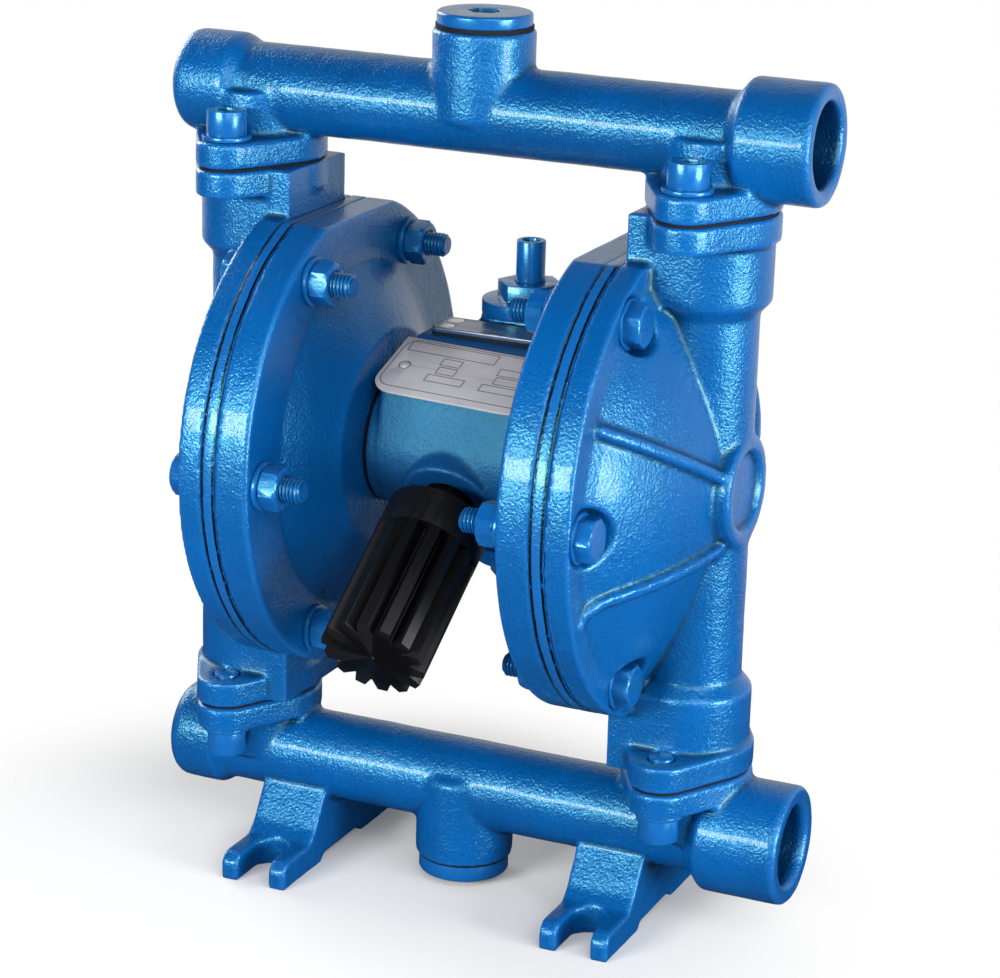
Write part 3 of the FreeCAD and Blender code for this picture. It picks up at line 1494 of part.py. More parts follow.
def suction_manifold():
    """Return the lower manifold with its feet, port, closed end, flanges and drain boss."""
    axis_z = suction_axis_z
    pipe = cylinder(
        suction_pipe_radius,
        vec(suction_blind_shoulder_x, 0, axis_z),
        vec(suction_port_shoulder_x, 0, axis_z),
    )
    hub = port_hub(
        suction_port_end_x, suction_port_shoulder_x, suction_port_shoulder_length,
        suction_pipe_radius, suction_port_hub_radius, axis_z,
    )
    blind = blind_hub(
        suction_blind_end_x, suction_blind_shoulder_x, suction_blind_shoulder_length,
        suction_pipe_radius, suction_blind_hub_radius, axis_z,
    )
    flange_low_z = suction_flange_z - manifold_flange_thickness
    necks = manifold_necks(flange_low_z, suction_flange_z, axis_z, -1)
    taper_end_z = suction_boss_tongue_z - boss_taper_length
    boss = cylinder(boss_radius, vec(0, 0, suction_boss_end_z), vec(0, 0, taper_end_z))
    tongue = cone(boss_radius, boss_tongue_radius, vec(0, 0, taper_end_z), vec(0, 0, suction_boss_tongue_z))
    one_foot = foot()
    body = pipe.fuse([hub, blind, boss, tongue, one_foot, mirrored(one_foot)] + necks)

    bore = cylinder(
        manifold_bore_radius,
        vec(suction_blind_end_x + blind_wall, 0, axis_z),
        vec(suction_port_end_x - port_thread_depth, 0, axis_z),
    )
    tools = [bore, port_bore(suction_port_end_x, axis_z)]
    tools.append(cylinder(boss_bore_radius, vec(0, 0, suction_boss_end_z), vec(0, 0, axis_z)))
    axis_crossing = vec(passage_axis_x, 0, axis_z)
    riser = cylinder(passage_bore_radius, axis_crossing, vec(passage_axis_x, 0, suction_flange_z))
    pocket = seat_pocket(suction_flange_z)
    holes = flange_screw_holes(flange_low_z, suction_flange_z, manifold_screw_hole_radius)
    seats = flange_screw_holes(flange_low_z - cap_head_height - 2.0, flange_low_z, manifold_washer_radius + 0.3)
    for tool in (riser, pocket, holes, seats):
        tools = tools + [tool, mirrored(tool)]
    return body.cut(tools).removeSplitter()


def boss_plug(face_z, outward, gasket_thickness, flange_thickness):
    """Return a plug that closes a manifold boss; outward is +1 upwards or -1 downwards."""
    seat_z = face_z + outward * gasket_thickness
    end_z = seat_z + outward * flange_thickness
    flange = cylinder(plug_flange_radius, vec(0, 0, seat_z), vec(0, 0, end_z))
    rim = [edge for edge in flange.Edges if edge.Vertexes and abs(edge.Vertexes[0].Z - end_z) < 0.01]
    rim = [edge for edge in rim if isinstance(edge.Curve, Part.Circle)]
    flange = flange.makeFillet(plug_edge_round, rim)
    thread_radius = boss_bore_radius - plug_thread_clearance
    thread_end = vec(0, 0, face_z - outward * plug_thread_length)
    thread = cylinder(thread_radius, thread_end, vec(0, 0, seat_z))
    socket_floor = vec(0, 0, end_z - outward * plug_socket_depth)
    socket = hexagon_bar(plug_socket_across_flats, socket_floor, vec(0, 0, end_z + outward), 15.0)
    return flange.fuse(thread).removeSplitter().cut(socket)


def plug_gasket(face_z, seat_z):
    return ring(boss_bore_radius, plug_gasket_radius, vec(0, 0, face_z), vec(0, 0, seat_z))


def flange_seal(side, low_z):
    """Return the flat seal between a cover and a manifold."""
    high_z = low_z + flange_seal_thickness
    plate = flange_plate(low_z, high_z, flange_seal_inset)
    hole = cylinder(ball_cage_radius, vec(passage_axis_x, 0, low_z), vec(passage_axis_x, 0, high_z))
    seal = plate.cut([hole, flange_screw_holes(low_z, high_z, manifold_screw_hole_radius)])
    return seal if side > 0 else mirrored(seal)


def cap_screw(x, y, seat_z, upward):
    """Return a socket-head screw whose head stands up (+1) or down (-1) from seat_z."""
    head_end_z = seat_z + upward * cap_head_height
    head = cylinder(cap_head_radius, vec(x, y, seat_z), vec(x, y, head_end_z))
    shank_end = vec(x, y, seat_z - upward * manifold_screw_length)
    shank = cylinder(manifold_screw_radius, shank_end, vec(x, y, seat_z))
    socket_floor = vec(x, y, head_end_z - upward * cap_socket_depth)
    socket = hexagon_bar(cap_socket_across_flats, socket_floor, vec(x, y, head_end_z))
    return head.fuse(shank).removeSplitter().cut(socket)


def manifold_screw_places():
    places = []
    for side in (-1, 1):
        for sy in (-1, 1):
            places.append((side * passage_axis_x, sy * flange_bolt_offset_y))
    return places


def manifold_screws(seat_z, upward):
    face_z = seat_z + upward * manifold_washer_thickness
    return [cap_screw(x, y, face_z, upward) for x, y in manifold_screw_places()]


def manifold_washers(seat_z, upward):
    face_z = seat_z + upward * manifold_washer_thickness
    washers = []
    for x, y in manifold_screw_places():
        washers.append(ring(
            manifold_screw_hole_radius, manifold_washer_radius, vec(x, y, seat_z), vec(x, y, face_z),
        ))
    return washers


def disc_bolts(side):
    """Return the hexagon bolts of one chamber, with their heads on the fluid cover."""
    bolts = []
    for y, z in disc_bolt_places():
        seat = side_point(side, disc_bolt_seat_x, y, z)
        head_end = side_point(side, disc_bolt_seat_x + disc_bolt_head_height, y, z)
        shank_end = side_point(side, disc_bolt_seat_x - disc_bolt_length, y, z)
        head = hexagon_bar(disc_bolt_hex_across_flats, seat, head_end, 30.0)
        chamfer = Part.makeCone(
            disc_bolt_hex_across_flats / 2.0 + disc_bolt_head_height, disc_bolt_hex_across_flats / 2.0 - 0.3,
            disc_bolt_head_height + 0.3, seat, X_AXIS * side,
        )
        head = head.common(chamfer)
        shank = cylinder(disc_bolt_radius, shank_end, seat)
        bolts.append(head.fuse(shank).removeSplitter())
    return bolts


def disc_nuts(side):
    nuts = []
    for y, z in disc_bolt_places():
        face = side_point(side, air_disc_inner_x - disc_washer_thickness, y, z)
        end = side_point(side, air_disc_inner_x - disc_washer_thickness - disc_nut_height, y, z)
        nut = hexagon_bar(disc_bolt_hex_across_flats, face, end, 30.0)
        nuts.append(nut.cut(cylinder(disc_bolt_radius + 0.15, face, end)))
    return nuts


def disc_washers(side):
    """Return the washers under the bolt heads and under the nuts of one chamber."""
    washers = []
    for y, z in disc_bolt_places():
        for face_x in (disc_bolt_seat_x, air_disc_inner_x):
            face = side_point(side, face_x, y, z)
            end = side_point(side, face_x - disc_washer_thickness, y, z)
            washers.append(ring(disc_bolt_hole_radius, disc_washer_radius, face, end))
    return washers


def both(maker):
    """Return what maker gives for the -X side and for the +X side, as one list."""
    pieces = []
    for side in (-1, 1):
        made = maker(side)
        pieces = pieces + (made if isinstance(made, list) else [made])
    return pieces


def pair(shape):
    return [mirrored(shape), shape]


def group(shapes):
    return Part.makeCompound(shapes)


def build():
    """Return every sub-part under its name."""
    right_fluid_cover = fluid_cover()
    right_air_cover = air_cover()
    right_diaphragm = diaphragm()
    right_inner_plate = inner_plate()
    right_outer_plate = outer_plate()
    discharge_flange_top = discharge_flange_z + manifold_flange_thickness
    suction_flange_low = suction_flange_z - manifold_flange_thickness
    screws = manifold_screws(discharge_flange_top, 1) + manifold_screws(suction_flange_low, -1)
    washers = manifold_washers(discharge_flange_top, 1) + manifold_washers(suction_flange_low, -1)
    right_hub_screws = hub_screws()
    return {
        "discharge_manifold": discharge_manifold(),
        "suction_manifold": suction_manifold(),
        "top_boss_plug": boss_plug(discharge_boss_top_z, 1, plug_gasket_thickness, plug_flange_thickness),
        "bottom_boss_plug": boss_plug(
            suction_boss_end_z, -1, drain_gasket_thickness, drain_plug_flange_thickness,
        ),
        "boss_plug_gaskets": group([
            plug_gasket(discharge_boss_top_z, discharge_boss_top_z + plug_gasket_thickness),
            plug_gasket(suction_boss_end_z, suction_boss_end_z - drain_gasket_thickness),
        ]),
        "left_fluid_cover": mirrored(right_fluid_cover),
        "right_fluid_cover": right_fluid_cover,
        "left_air_cover": mirrored(right_air_cover),
        "right_air_cover": right_air_cover,
        "centre_body": centre_body(),
        "hub_gaskets": group(pair(hub_gasket())),
        "hub_screws": group(right_hub_screws + [mirrored(screw) for screw in right_hub_screws]),
        "left_diaphragm": mirrored(right_diaphragm),
        "right_diaphragm": right_diaphragm,
        "connecting_rod": connecting_rod(),
        "rod_bushes": group(both(rod_bush)),
        "rod_seals": group(both(rod_seal)),
        "left_inner_plate": mirrored(right_inner_plate),
        "right_inner_plate": right_inner_plate,
        "left_outer_plate": mirrored(right_outer_plate),
        "right_outer_plate": right_outer_plate,
        "plate_nuts": group(both(plate_nut)),
        "pilot_rod": pilot_rod(),
        "pilot_bushes": group(both(pilot_bush)),
        "suction_seats": group(both(lambda side: valve_seat(side, suction_flange_z, suction_ball_z))),
        "discharge_seats": group(both(lambda side: valve_seat(side, discharge_joint_z, discharge_ball_z))),
        "left_suction_ball": check_ball(-1, suction_ball_z),
        "right_suction_ball": check_ball(1, suction_ball_z),
        "left_discharge_ball": check_ball(-1, discharge_ball_z),
        "right_discharge_ball": check_ball(1, discharge_ball_z),
        "flange_seals": group(
            both(lambda side: flange_seal(side, suction_flange_z))
            + both(lambda side: flange_seal(side, discharge_joint_z))
        ),
        "chamber_bolts": group(both(disc_bolts)),
        "chamber_nuts": group(both(disc_nuts)),
        "chamber_washers": group(both(disc_washers)),
        "manifold_screws": group(screws),
        "manifold_washers": group(washers),
        "silencer": silencer(),
        "valve_gasket": valve_gasket(),
        "valve_body": valve_body(),
        "valve_screws": group(valve_screws()),
        "valve_sleeve": valve_sleeve(),
        "valve_spool": valve_spool(),
        "valve_cap": valve_cap(),
        "valve_bottom_plug": valve_bottom_plug(),
        "air_inlet_nipple": air_inlet_nipple(),
        "lid": lid(),
        "lid_gasket": lid_gasket(),
        "lid_screws": group(lid_screws()),
        "nameplate": nameplate(),
        "nameplate_rivets": group(nameplate_rivets()),
    }


os.makedirs("parts", exist_ok=True)
for name, shape in build().items():
    shape.exportStep("parts/" + name + ".step")
    print(name, len(shape.Solids), round(shape.Volume, 1), shape.isValid())
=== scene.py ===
import logging
import math
from collections.abc import Callable, Iterable
from dataclasses import dataclass, field
from enum import Enum
from functools import reduce

import bpy
from mathutils import Matrix, Vector


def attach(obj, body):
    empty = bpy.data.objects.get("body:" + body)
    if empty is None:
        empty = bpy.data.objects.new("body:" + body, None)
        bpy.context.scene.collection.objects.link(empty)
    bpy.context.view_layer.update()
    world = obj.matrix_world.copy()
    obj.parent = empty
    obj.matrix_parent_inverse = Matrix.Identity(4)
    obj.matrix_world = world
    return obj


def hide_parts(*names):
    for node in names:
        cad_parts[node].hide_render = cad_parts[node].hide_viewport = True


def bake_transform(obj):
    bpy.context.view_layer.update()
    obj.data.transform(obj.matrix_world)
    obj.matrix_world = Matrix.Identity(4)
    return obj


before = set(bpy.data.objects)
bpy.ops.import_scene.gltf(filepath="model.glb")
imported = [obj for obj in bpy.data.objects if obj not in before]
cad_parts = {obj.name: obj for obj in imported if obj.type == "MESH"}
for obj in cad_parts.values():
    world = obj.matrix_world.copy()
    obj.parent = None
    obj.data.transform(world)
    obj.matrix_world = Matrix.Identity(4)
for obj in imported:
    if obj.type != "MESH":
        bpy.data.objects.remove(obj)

log = logging.getLogger("pump")

MM = 0.001
ROD_AXIS_Z = 151.0 * MM
UPPER_PORT_Z = 262.9 * MM
LOWER_PORT_Z = 33.9 * MM
BODY = "pump_body"
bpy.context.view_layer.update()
SHARP_ANGLE = math.radians(32.0)
BEVEL_ANGLE = math.radians(35.0)
WELD_DISTANCE = 0.002 * MM
WAVE_LENGTH = 11.0 * MM
WAVE_LEVEL = 0.62

# Sizes of the unevenness of the enamel
BLOTCH_SIZE = 30.0 * MM
PEBBLE_SIZE = 0.9 * MM
PEEL_SIZE = 3.6 * MM
DUST_SIZE = 0.7 * MM

# Pointiness of a surface, from flat to clearly hollow and from flat to clearly an edge; the hollows get
# painted shade and the edges a painted highlight
HOLLOW_BAND = (0.497, 0.465)
EDGE_BAND = (0.505, 0.530)

# Where the painted shade inside a port begins and ends, along its axis and away from it
PORT_MOUTH = (115.5 * MM, 112.5 * MM)
PORT_WALL = (14.5 * MM, 13.5 * MM)


class Skin(Enum):
    """How a solid's surface is finished."""

    CAST = "cast"
    MACHINED = "machined"


class Signal:
    """A socket of a material that takes part in Python arithmetic."""

    def __init__(self, canvas: "Canvas", socket: bpy.types.NodeSocket) -> None:
        """Keep the socket and the canvas that it belongs to."""
        self.canvas = canvas
        self.socket = socket

    def _math(self, operation: str, *values: "Signal | float") -> "Signal":
        """Add a Math node.

        Args:
            operation: The node's operation.
            values: What goes into its sockets, in order.

        Returns:
            The node's result.
        """
        inputs = dict(enumerate(values))
        return self.canvas.node("ShaderNodeMath", {"operation": operation}, inputs)

    def __add__(self, other: "Signal | float") -> "Signal":
        """Return self + other."""
        return self._math("ADD", self, other)

    def __radd__(self, other: float) -> "Signal":
        """Return other + self."""
        return self._math("ADD", other, self)

    def __sub__(self, other: "Signal | float") -> "Signal":
        """Return self - other."""
        return self._math("SUBTRACT", self, other)

    def __rsub__(self, other: float) -> "Signal":
        """Return other - self."""
        return self._math("SUBTRACT", other, self)

    def __mul__(self, other: "Signal | float") -> "Signal":
        """Return self * other."""
        return self._math("MULTIPLY", self, other)

    def __rmul__(self, other: float) -> "Signal":
        """Return other * self."""
        return self._math("MULTIPLY", other, self)

    def __truediv__(self, other: "Signal | float") -> "Signal":
        """Return self / other."""
        return self._math("DIVIDE", self, other)

    def __rtruediv__(self, other: float) -> "Signal":
        """Return other / self."""
        return self._math("DIVIDE", other, self)

    def __pow__(self, other: "Signal | float") -> "Signal":
        """Return self ** other."""
        return self._math("POWER", self, other)

    def __abs__(self) -> "Signal":
        """Return the absolute value."""
        return self._math("ABSOLUTE", self)

    def lowest(self, other: "Signal | float") -> "Signal":
        """Return the smaller of self and other."""
        return self._math("MINIMUM", self, other)

    def highest(self, other: "Signal | float") -> "Signal":
        """Return the larger of self and other."""
        return self._math("MAXIMUM", self, other)

    def ramp(self, start: float, end: float, low: float = 0.0, high: float = 1.0) -> "Signal":
        """Map self smoothly from one range to another.

        Args:
            start: The value that gives low.
            end: The value that gives high.
            low: The result at start.
            high: The result at end.

        Returns:
            The mapped value, held within its range.
        """
        settings = {"interpolation_type": "SMOOTHSTEP", "clamp": True}
        inputs = {"Value": self, "From Min": start, "From Max": end, "To Min": low, "To Max": high}
        if start > end:
            inputs.update({"From Min": end, "From Max": start, "To Min": high, "To Max": low})
        return self.canvas.node("ShaderNodeMapRange", settings, inputs)


Colour = tuple[float, float, float]
Span = tuple[float, float, float]
Box = tuple[float, float, float, float, float]
Faces = list[tuple[int, ...]]
Radius = Callable[[float], float]


class Canvas:
    """The node tree of one material or world."""

    def __init__(self, owner: bpy.types.Material | bpy.types.World) -> None:
        """Empty the owner's node tree."""
        owner.use_nodes = True
        self.tree = owner.node_tree
        self.tree.nodes.clear()
        self._place: Signal | None = None

    def node(
        self, kind: str, settings: dict | None = None, inputs: dict | None = None, output: int | str = 0,
    ) -> Signal | None:
        """Add a node.

        Args:
            kind: The node's type.
            settings: Its properties, set first.
            inputs: Values or signals for its sockets, by name or index.
            output: The output that is wanted, by name or index.

        Returns:
            That output, or nothing from a node that has none.
        """
        made = self.tree.nodes.new(kind)
        for name, value in (settings or {}).items():
            setattr(made, name, value)
        for key, value in (inputs or {}).items():
            if isinstance(value, Signal):
                self.tree.links.new(value.socket, made.inputs[key])
            else:
                made.inputs[key].default_value = value
        return Signal(self, made.outputs[output]) if made.outputs else None

    @property
    def place(self) -> Signal:
        """The point on the object, in metres."""
        if self._place is None:
            self._place = self.node("ShaderNodeTexCoord", output="Object")
        return self._place

    def axes(self) -> tuple[Signal, Signal, Signal]:
        """Return the X, Y and Z of the point on the object."""
        across = self.node("ShaderNodeSeparateXYZ", None, {0: self.place})
        return tuple(Signal(self, output) for output in across.socket.node.outputs)

    def along(self, direction: Vector, start: Vector) -> Signal:
        """Return how far the point lies from start along a direction.

        Args:
            direction: A unit vector.
            start: The point that counts as zero.

        Returns:
            The distance in metres.
        """
        inputs = {0: self.place, 1: tuple(direction)}
        reach = self.node("ShaderNodeVectorMath", {"operation": "DOT_PRODUCT"}, inputs, "Value")
        return reach - direction.dot(start)

    def noise(self, size: float, detail: float = 2.0, rough: float = 0.5, shift: float = 0.0) -> Signal:
        """Return soft noise between 0 and 1.

        Args:
            size: Length of one patch in metres.
            detail: Octaves of finer noise.
            rough: Strength of the finer octaves.
            shift: A number that sets the noise apart from others.

        Returns:
            The noise value.
        """
        inputs = {"Vector": self.place, "W": shift, "Scale": 1.0 / size, "Detail": detail, "Roughness": rough}
        return self.node("ShaderNodeTexNoise", {"noise_dimensions": "4D"}, inputs)

    def crease(self) -> Signal:
        """Return about 0.5 on flat stretches, less in hollows and more on edges."""
        return self.node("ShaderNodeNewGeometry", output="Pointiness")

    def blend(self, factor: "Signal | float", first: "Signal | Colour", second: "Signal | Colour") -> Signal:
        """Mix two colours.

        Args:
            factor: How much of the second colour.
            first: The colour at 0.
            second: The colour at 1.

        Returns:
            The mixed colour.
        """
        first = first if isinstance(first, Signal) else (*first, 1.0)
        second = second if isinstance(second, Signal) else (*second, 1.0)
        settings = {"data_type": "RGBA", "blend_type": "MIX"}
        return self.node("ShaderNodeMix", settings, {0: factor, 6: first, 7: second}, 2)

    def bump(self, height: Signal, depth: float) -> Signal:
        """Return a normal that leans with a height, which is depth metres at a height of one."""
        return self.node("ShaderNodeBump", None, {"Strength": 1.0, "Distance": depth, "Height": height})

    def finish(self, **sockets: "Signal | float | Colour") -> None:
        """Close the material with its surface shader.

        Args:
            sockets: Values or signals, by socket name with underscores for spaces.
        """
        inputs = {}
        for name, value in sockets.items():
            value = (*value, 1.0) if isinstance(value, tuple) else value
            inputs[name.replace("_", " ")] = value
        surface = self.node("ShaderNodeBsdfPrincipled", None, inputs)
        self.node("ShaderNodeOutputMaterial", None, {"Surface": surface})


def strongest(masks: Iterable[Signal]) -> Signal:
    """Return the largest of some masks at each point."""
    return reduce(Signal.highest, masks)


def scaled(colour: Colour, factor: float, lift: float = 0.0) -> Colour:
    """Return a colour times a factor, plus a lift, at most 1 in each part."""
    return tuple(min(1.0, factor * value + lift) for value in colour)


def new_object(name: str, data: bpy.types.ID) -> bpy.types.Object:
    """Put a new object in the scene.

    Args:
        name: Its name.
        data: Its mesh, light or camera.

    Returns:
        The object.
    """
    made = bpy.data.objects.new(name, data)
    bpy.context.scene.collection.objects.link(made)
    return made


@dataclass(frozen=True)
class Enamel:
    """Glossy blue enamel over iron, from a smooth disc to a pebbled casting.

    Attributes:
        name: The material's name.
        grain: Depth of the pebbled grain in metres.
        waviness: Depth of the slow waves in metres.
        body: Colour of the paint in plain light.
        shade_and_speck: Colour of the painted shade in hollows and inside the ports, and of the random dark
            specks.
        rough: Roughness of the paint.
        coat: Weight of the gloss on top.
        seams: Distances from the middle plane at which a black joint line shows.
        seam_width: Half of the width of a joint line in metres.
        shaded_ports: Heights of the axes of the ports that get painted shade inside, in metres.
        gleam: Tint of the reflections.
        joint: Colour of a joint line.
    """

    name: str
    grain: float = 0.06 * MM
    waviness: float = 0.25 * MM
    body: Colour = (0.0002, 0.058, 0.212)
    shade_and_speck: Colour = (0.0001, 0.005, 0.028)
    rough: float = 0.22
    coat: float = 0.12
    seams: tuple[float, ...] = ()
    seam_width: float = 0.60 * MM
    shaded_ports: tuple[float, ...] = ()
    gleam: Colour = (0.24, 0.86, 1.0)
    joint: Colour = (0.0003, 0.0006, 0.002)

    def paint(self, canvas: Canvas) -> None:
        """Build the finish on a canvas."""
        blotch = canvas.noise(BLOTCH_SIZE, 3.0, 0.5, 1.0)
        pebble = canvas.noise(PEBBLE_SIZE, 2.0, 0.6, 2.0)
        peel = canvas.noise(PEEL_SIZE, 1.0, 0.4, 3.0)
        dust = canvas.noise(DUST_SIZE, 1.0, 0.5, 4.0)
        crease = canvas.crease()
        hollow = crease.ramp(*HOLLOW_BAND)
        edge = crease.ramp(*EDGE_BAND)
        shade = (blotch.ramp(0.35, 0.65) * 0.30 + pebble.ramp(0.42, 0.60) * 0.22).lowest(1.0)
        tone = canvas.blend(shade, self.body, scaled(self.body, 0.5))
        # Painted shade: hollows, found by pointiness, take the darker colour.
        tone = canvas.blend(hollow * 0.85, tone, self.shade_and_speck)
        # Painted highlight: edges, found by pointiness, are lightened.
        tone = canvas.blend(edge * 0.25, tone, scaled(self.body, 1.4, 0.01))
        tone = canvas.blend(dust.ramp(0.68, 0.78) * 0.6, tone, self.shade_and_speck)
        if self.seams:
            tone = canvas.blend(self._seam_mask(canvas), tone, self.joint)
        # Painted shade inside the open ports.
        if self.shaded_ports:
            tone = canvas.blend(self._port_shade_mask(canvas) * 0.8, tone, self.shade_and_speck)
        height = pebble * 1.0 + peel * 0.6 + dust * 0.3
        canvas.finish(
            Base_Color=tone, Roughness=self.rough + blotch * 0.10 + hollow * 0.25,
            IOR=1.6, Specular_Tint=self.gleam, Coat_Weight=self.coat, Coat_Roughness=0.10,
            Normal=canvas.bump(height, self.grain),
        )

    def _port_shade_mask(self, canvas: Canvas) -> Signal:
        """Return 1 inside the open ports, where the shade is painted, and 0 elsewhere."""
        x, y, z = canvas.axes()
        rises = [z - height for height in self.shaded_ports]
        mask = strongest(((y * y + rise * rise) ** 0.5).ramp(*PORT_WALL) for rise in rises)
        return mask * x.ramp(*PORT_MOUTH)

    def _seam_mask(self, canvas: Canvas) -> Signal:
        """Return 1 on the joint lines and 0 elsewhere."""
        across, _, _ = canvas.axes()
        wobble = (canvas.noise(6.0 * MM, 2.0, 0.6, 8.0) - 0.5) * (0.6 * MM)
        ragged = canvas.noise(2.5 * MM, 2.0, 0.6, 9.0)
        gaps = [abs(abs(across) - seam + wobble) for seam in self.seams]
        mask = strongest(gap.ramp(self.seam_width, 0.5 * self.seam_width) for gap in gaps)
        return mask * ragged.ramp(0.30, 0.42, 0.45, 1.0)


@dataclass(frozen=True)
class Plain:
    """A plain finish with a little unevenness.

    Attributes:
        name: The material's name.
        body: Colour in plain light.
        rough: Roughness of the surface.
        metal: 1 for bare metal.
        grain: Depth of the fine texture in metres.
        grain_size: Length of one grain in metres.
        edge_highlight: How much lighter the edges are painted, as a painted highlight.
        shine: Strength of the reflections.
    """

    name: str
    body: Colour
    rough: float = 0.5
    metal: float = 0.0
    grain: float = 0.02 * MM
    grain_size: float = 0.8 * MM
    edge_highlight: float = 0.0
    shine: float = 0.5

    def paint(self, canvas: Canvas) -> None:
        """Build the finish on a canvas."""
        fine = canvas.noise(self.grain_size, 2.0, 0.5, 1.0)
        broad = canvas.noise(12.0 * MM, 2.0, 0.5, 2.0)
        # Painted highlight: edges, found by pointiness, are lightened.
        edge = canvas.crease().ramp(0.51, 0.58) * self.edge_highlight
        tone = canvas.blend(broad * 0.4, self.body, scaled(self.body, 0.6))
        tone = canvas.blend(edge, tone, scaled(self.body, 2.5, 0.02))
        rough = self.rough - 0.06 + broad * 0.12
        canvas.finish(
            Base_Color=tone, Roughness=rough, Metallic=self.metal, Specular_IOR_Level=self.shine,
            Normal=canvas.bump(fine, self.grain),
        )


@dataclass(frozen=True)
class PrintedPlate:
    """Pale metal sheet printed with thin frames.

    Attributes:
        name: The material's name.
        middle: Centre of the plate.
        across: Unit vector along its long side.
        up: Unit vector up its slope.
        half_width: Half of its long side in metres.
        half_height: Half of its short side in metres.
        line: Half of the thickness of a printed line in metres.
        rivet_inset: Distance of a rivet from the plate's end in millimetres.
        ring: Radius of the ring printed round a rivet in millimetres.
        box_height: Height of a small box in millimetres.
        left_boxes: Left, right and top of the small boxes on the left in millimetres.
        right_boxes: Left, right and top of the small boxes on the right in millimetres.
        ink: Colour of the print.
        metal: Colour of the sheet.
    """

    name: str
    middle: Vector
    across: Vector
    up: Vector
    half_width: float
    half_height: float
    line: float = 0.24 * MM
    rivet_inset: float = 6.4
    ring: float = 1.95
    box_height: float = 3.5
    left_boxes: tuple[Span, ...] = ((17.8, 24.7, 8.1), (18.4, 24.9, 12.6), (16.5, 29.8, 17.2))
    right_boxes: tuple[Span, ...] = ((38.5, 50.0, 8.1), (39.2, 50.5, 12.6), (36.2, 50.0, 17.2))
    ink: Colour = (0.02, 0.02, 0.022)
    metal: Colour = (0.40, 0.39, 0.41)

    def _frame(self, x: Signal, y: Signal, box: Box) -> Signal:
        """Return 1 on the outline of a box with round corners.

        Args:
            x: Position across the plate, from its middle.
            y: Position up the plate, from its middle.
            box: Left, top, right and bottom of the box from the plate's upper left corner
                and the radius of its corners, in millimetres.

        Returns:
            The mask of the outline.
        """
        left, top, right, bottom, corner = (value * MM for value in box)
        middle_x = 0.5 * (left + right) - self.half_width
        middle_y = self.half_height - 0.5 * (top + bottom)
        out_x = abs(x - middle_x) - (0.5 * (right - left) - corner)
        out_y = abs(y - middle_y) - (0.5 * (bottom - top) - corner)
        wide = out_x.highest(0.0)
        tall = out_y.highest(0.0)
        away = (wide * wide + tall * tall) ** 0.5 + out_x.highest(out_y).lowest(0.0) - corner
        return abs(away).ramp(self.line, 0.5 * self.line)

    def _boxes(self) -> list[Box]:
        """Return left, top, right, bottom and corner radius of the printed frames, in millimetres."""
        width = 2.0 * self.half_width / MM
        up = self.half_height / MM
        ring = self.ring
        boxes = [(1.5, 0.9, width - 1.5, 26.3, 5.0), (3.3, 1.9, 35.0, 6.8, 0.1)]
        for left, right, top in self.left_boxes + self.right_boxes:
            boxes.append((left, top, right, top + self.box_height, 0.1))
        for across in (self.rivet_inset, width - self.rivet_inset):
            boxes.append((across - ring, up - ring, across + ring, up + ring, ring))
        return boxes

    def paint(self, canvas: Canvas) -> None:
        """Build the finish on a canvas."""
        x = canvas.along(self.across, self.middle)
        y = canvas.along(self.up, self.middle)
        mask = strongest(self._frame(x, y, box) for box in self._boxes())
        haze = canvas.noise(8.0 * MM, 3.0, 0.6, 5.0)
        metal = canvas.blend(haze.ramp(0.35, 0.7) * 0.5, self.metal, scaled(self.metal, 0.8))
        fine = canvas.noise(0.6 * MM, 1.0, 0.5, 6.0)
        canvas.finish(
            Base_Color=canvas.blend(mask * 0.9, metal, self.ink), Roughness=0.34 + haze * 0.12,
            Metallic=0.25, Normal=canvas.bump(fine, 0.01 * MM),
        )


class Shop:
    """Makes each material once and hands it out."""

    def __init__(self) -> None:
        """Start with no materials."""
        self._made: dict[str, bpy.types.Material] = {}

    def take(self, finish: "Enamel | Plain | PrintedPlate") -> bpy.types.Material:
        """Return the material of a finish."""
        if finish.name not in self._made:
            material = bpy.data.materials.new(finish.name)
            finish.paint(Canvas(material))
            self._made[finish.name] = material
        return self._made[finish.name]


SHOP = Shop()
CAST_BLUE = Enamel("cast_blue", grain=0.34 * MM, waviness=0.3 * MM, shaded_ports=(UPPER_PORT_Z, LOWER_PORT_Z))
COVER_BLUE = Enamel("cover_blue", grain=0.28 * MM, waviness=0.2 * MM)
RIM_BLUE = Enamel("rim_blue", grain=0.22 * MM, seams=(54.2 * MM, 57.9 * MM))
SMOOTH_BLUE = Enamel("smooth_blue", grain=0.06 * MM, waviness=0.1 * MM)
# Painted shade: the centre body's paint is darker than the rest, for the shade between the chambers.
SHADED_CENTRE_BLUE = Enamel("shaded_centre_blue", grain=0.22 * MM, body=(0.0008, 0.036, 0.135), rough=0.46, coat=0.0)
BLACK_GASKET = Plain("black_gasket", (0.0010, 0.0020, 0.0050), rough=0.75, shine=0.2)
BLACK_PLASTIC = Plain(
    "black_plastic", (0.0010, 0.0010, 0.0016), rough=0.42, edge_highlight=0.2, grain=0.03 * MM, shine=0.22,
)
BLACK_RUBBER = Plain("black_rubber", (0.012, 0.012, 0.013), rough=0.6)
STEEL = Plain("steel", (0.55, 0.55, 0.56), rough=0.32, metal=1.0)
ALUMINIUM = Plain("aluminium", (0.66, 0.67, 0.69), rough=0.38, metal=1.0)
BRASS = Plain("brass", (0.62, 0.44, 0.16), rough=0.35, metal=1.0)
PALE_RIVET = Plain("pale_rivet", (0.36, 0.35, 0.37), rough=0.5, metal=0.3)
# Painted shade: the lid is coloured a dark blue for the shade that lies on it.
SHADED_LID = Plain("shaded_lid", (0.020, 0.050, 0.110), rough=0.25)


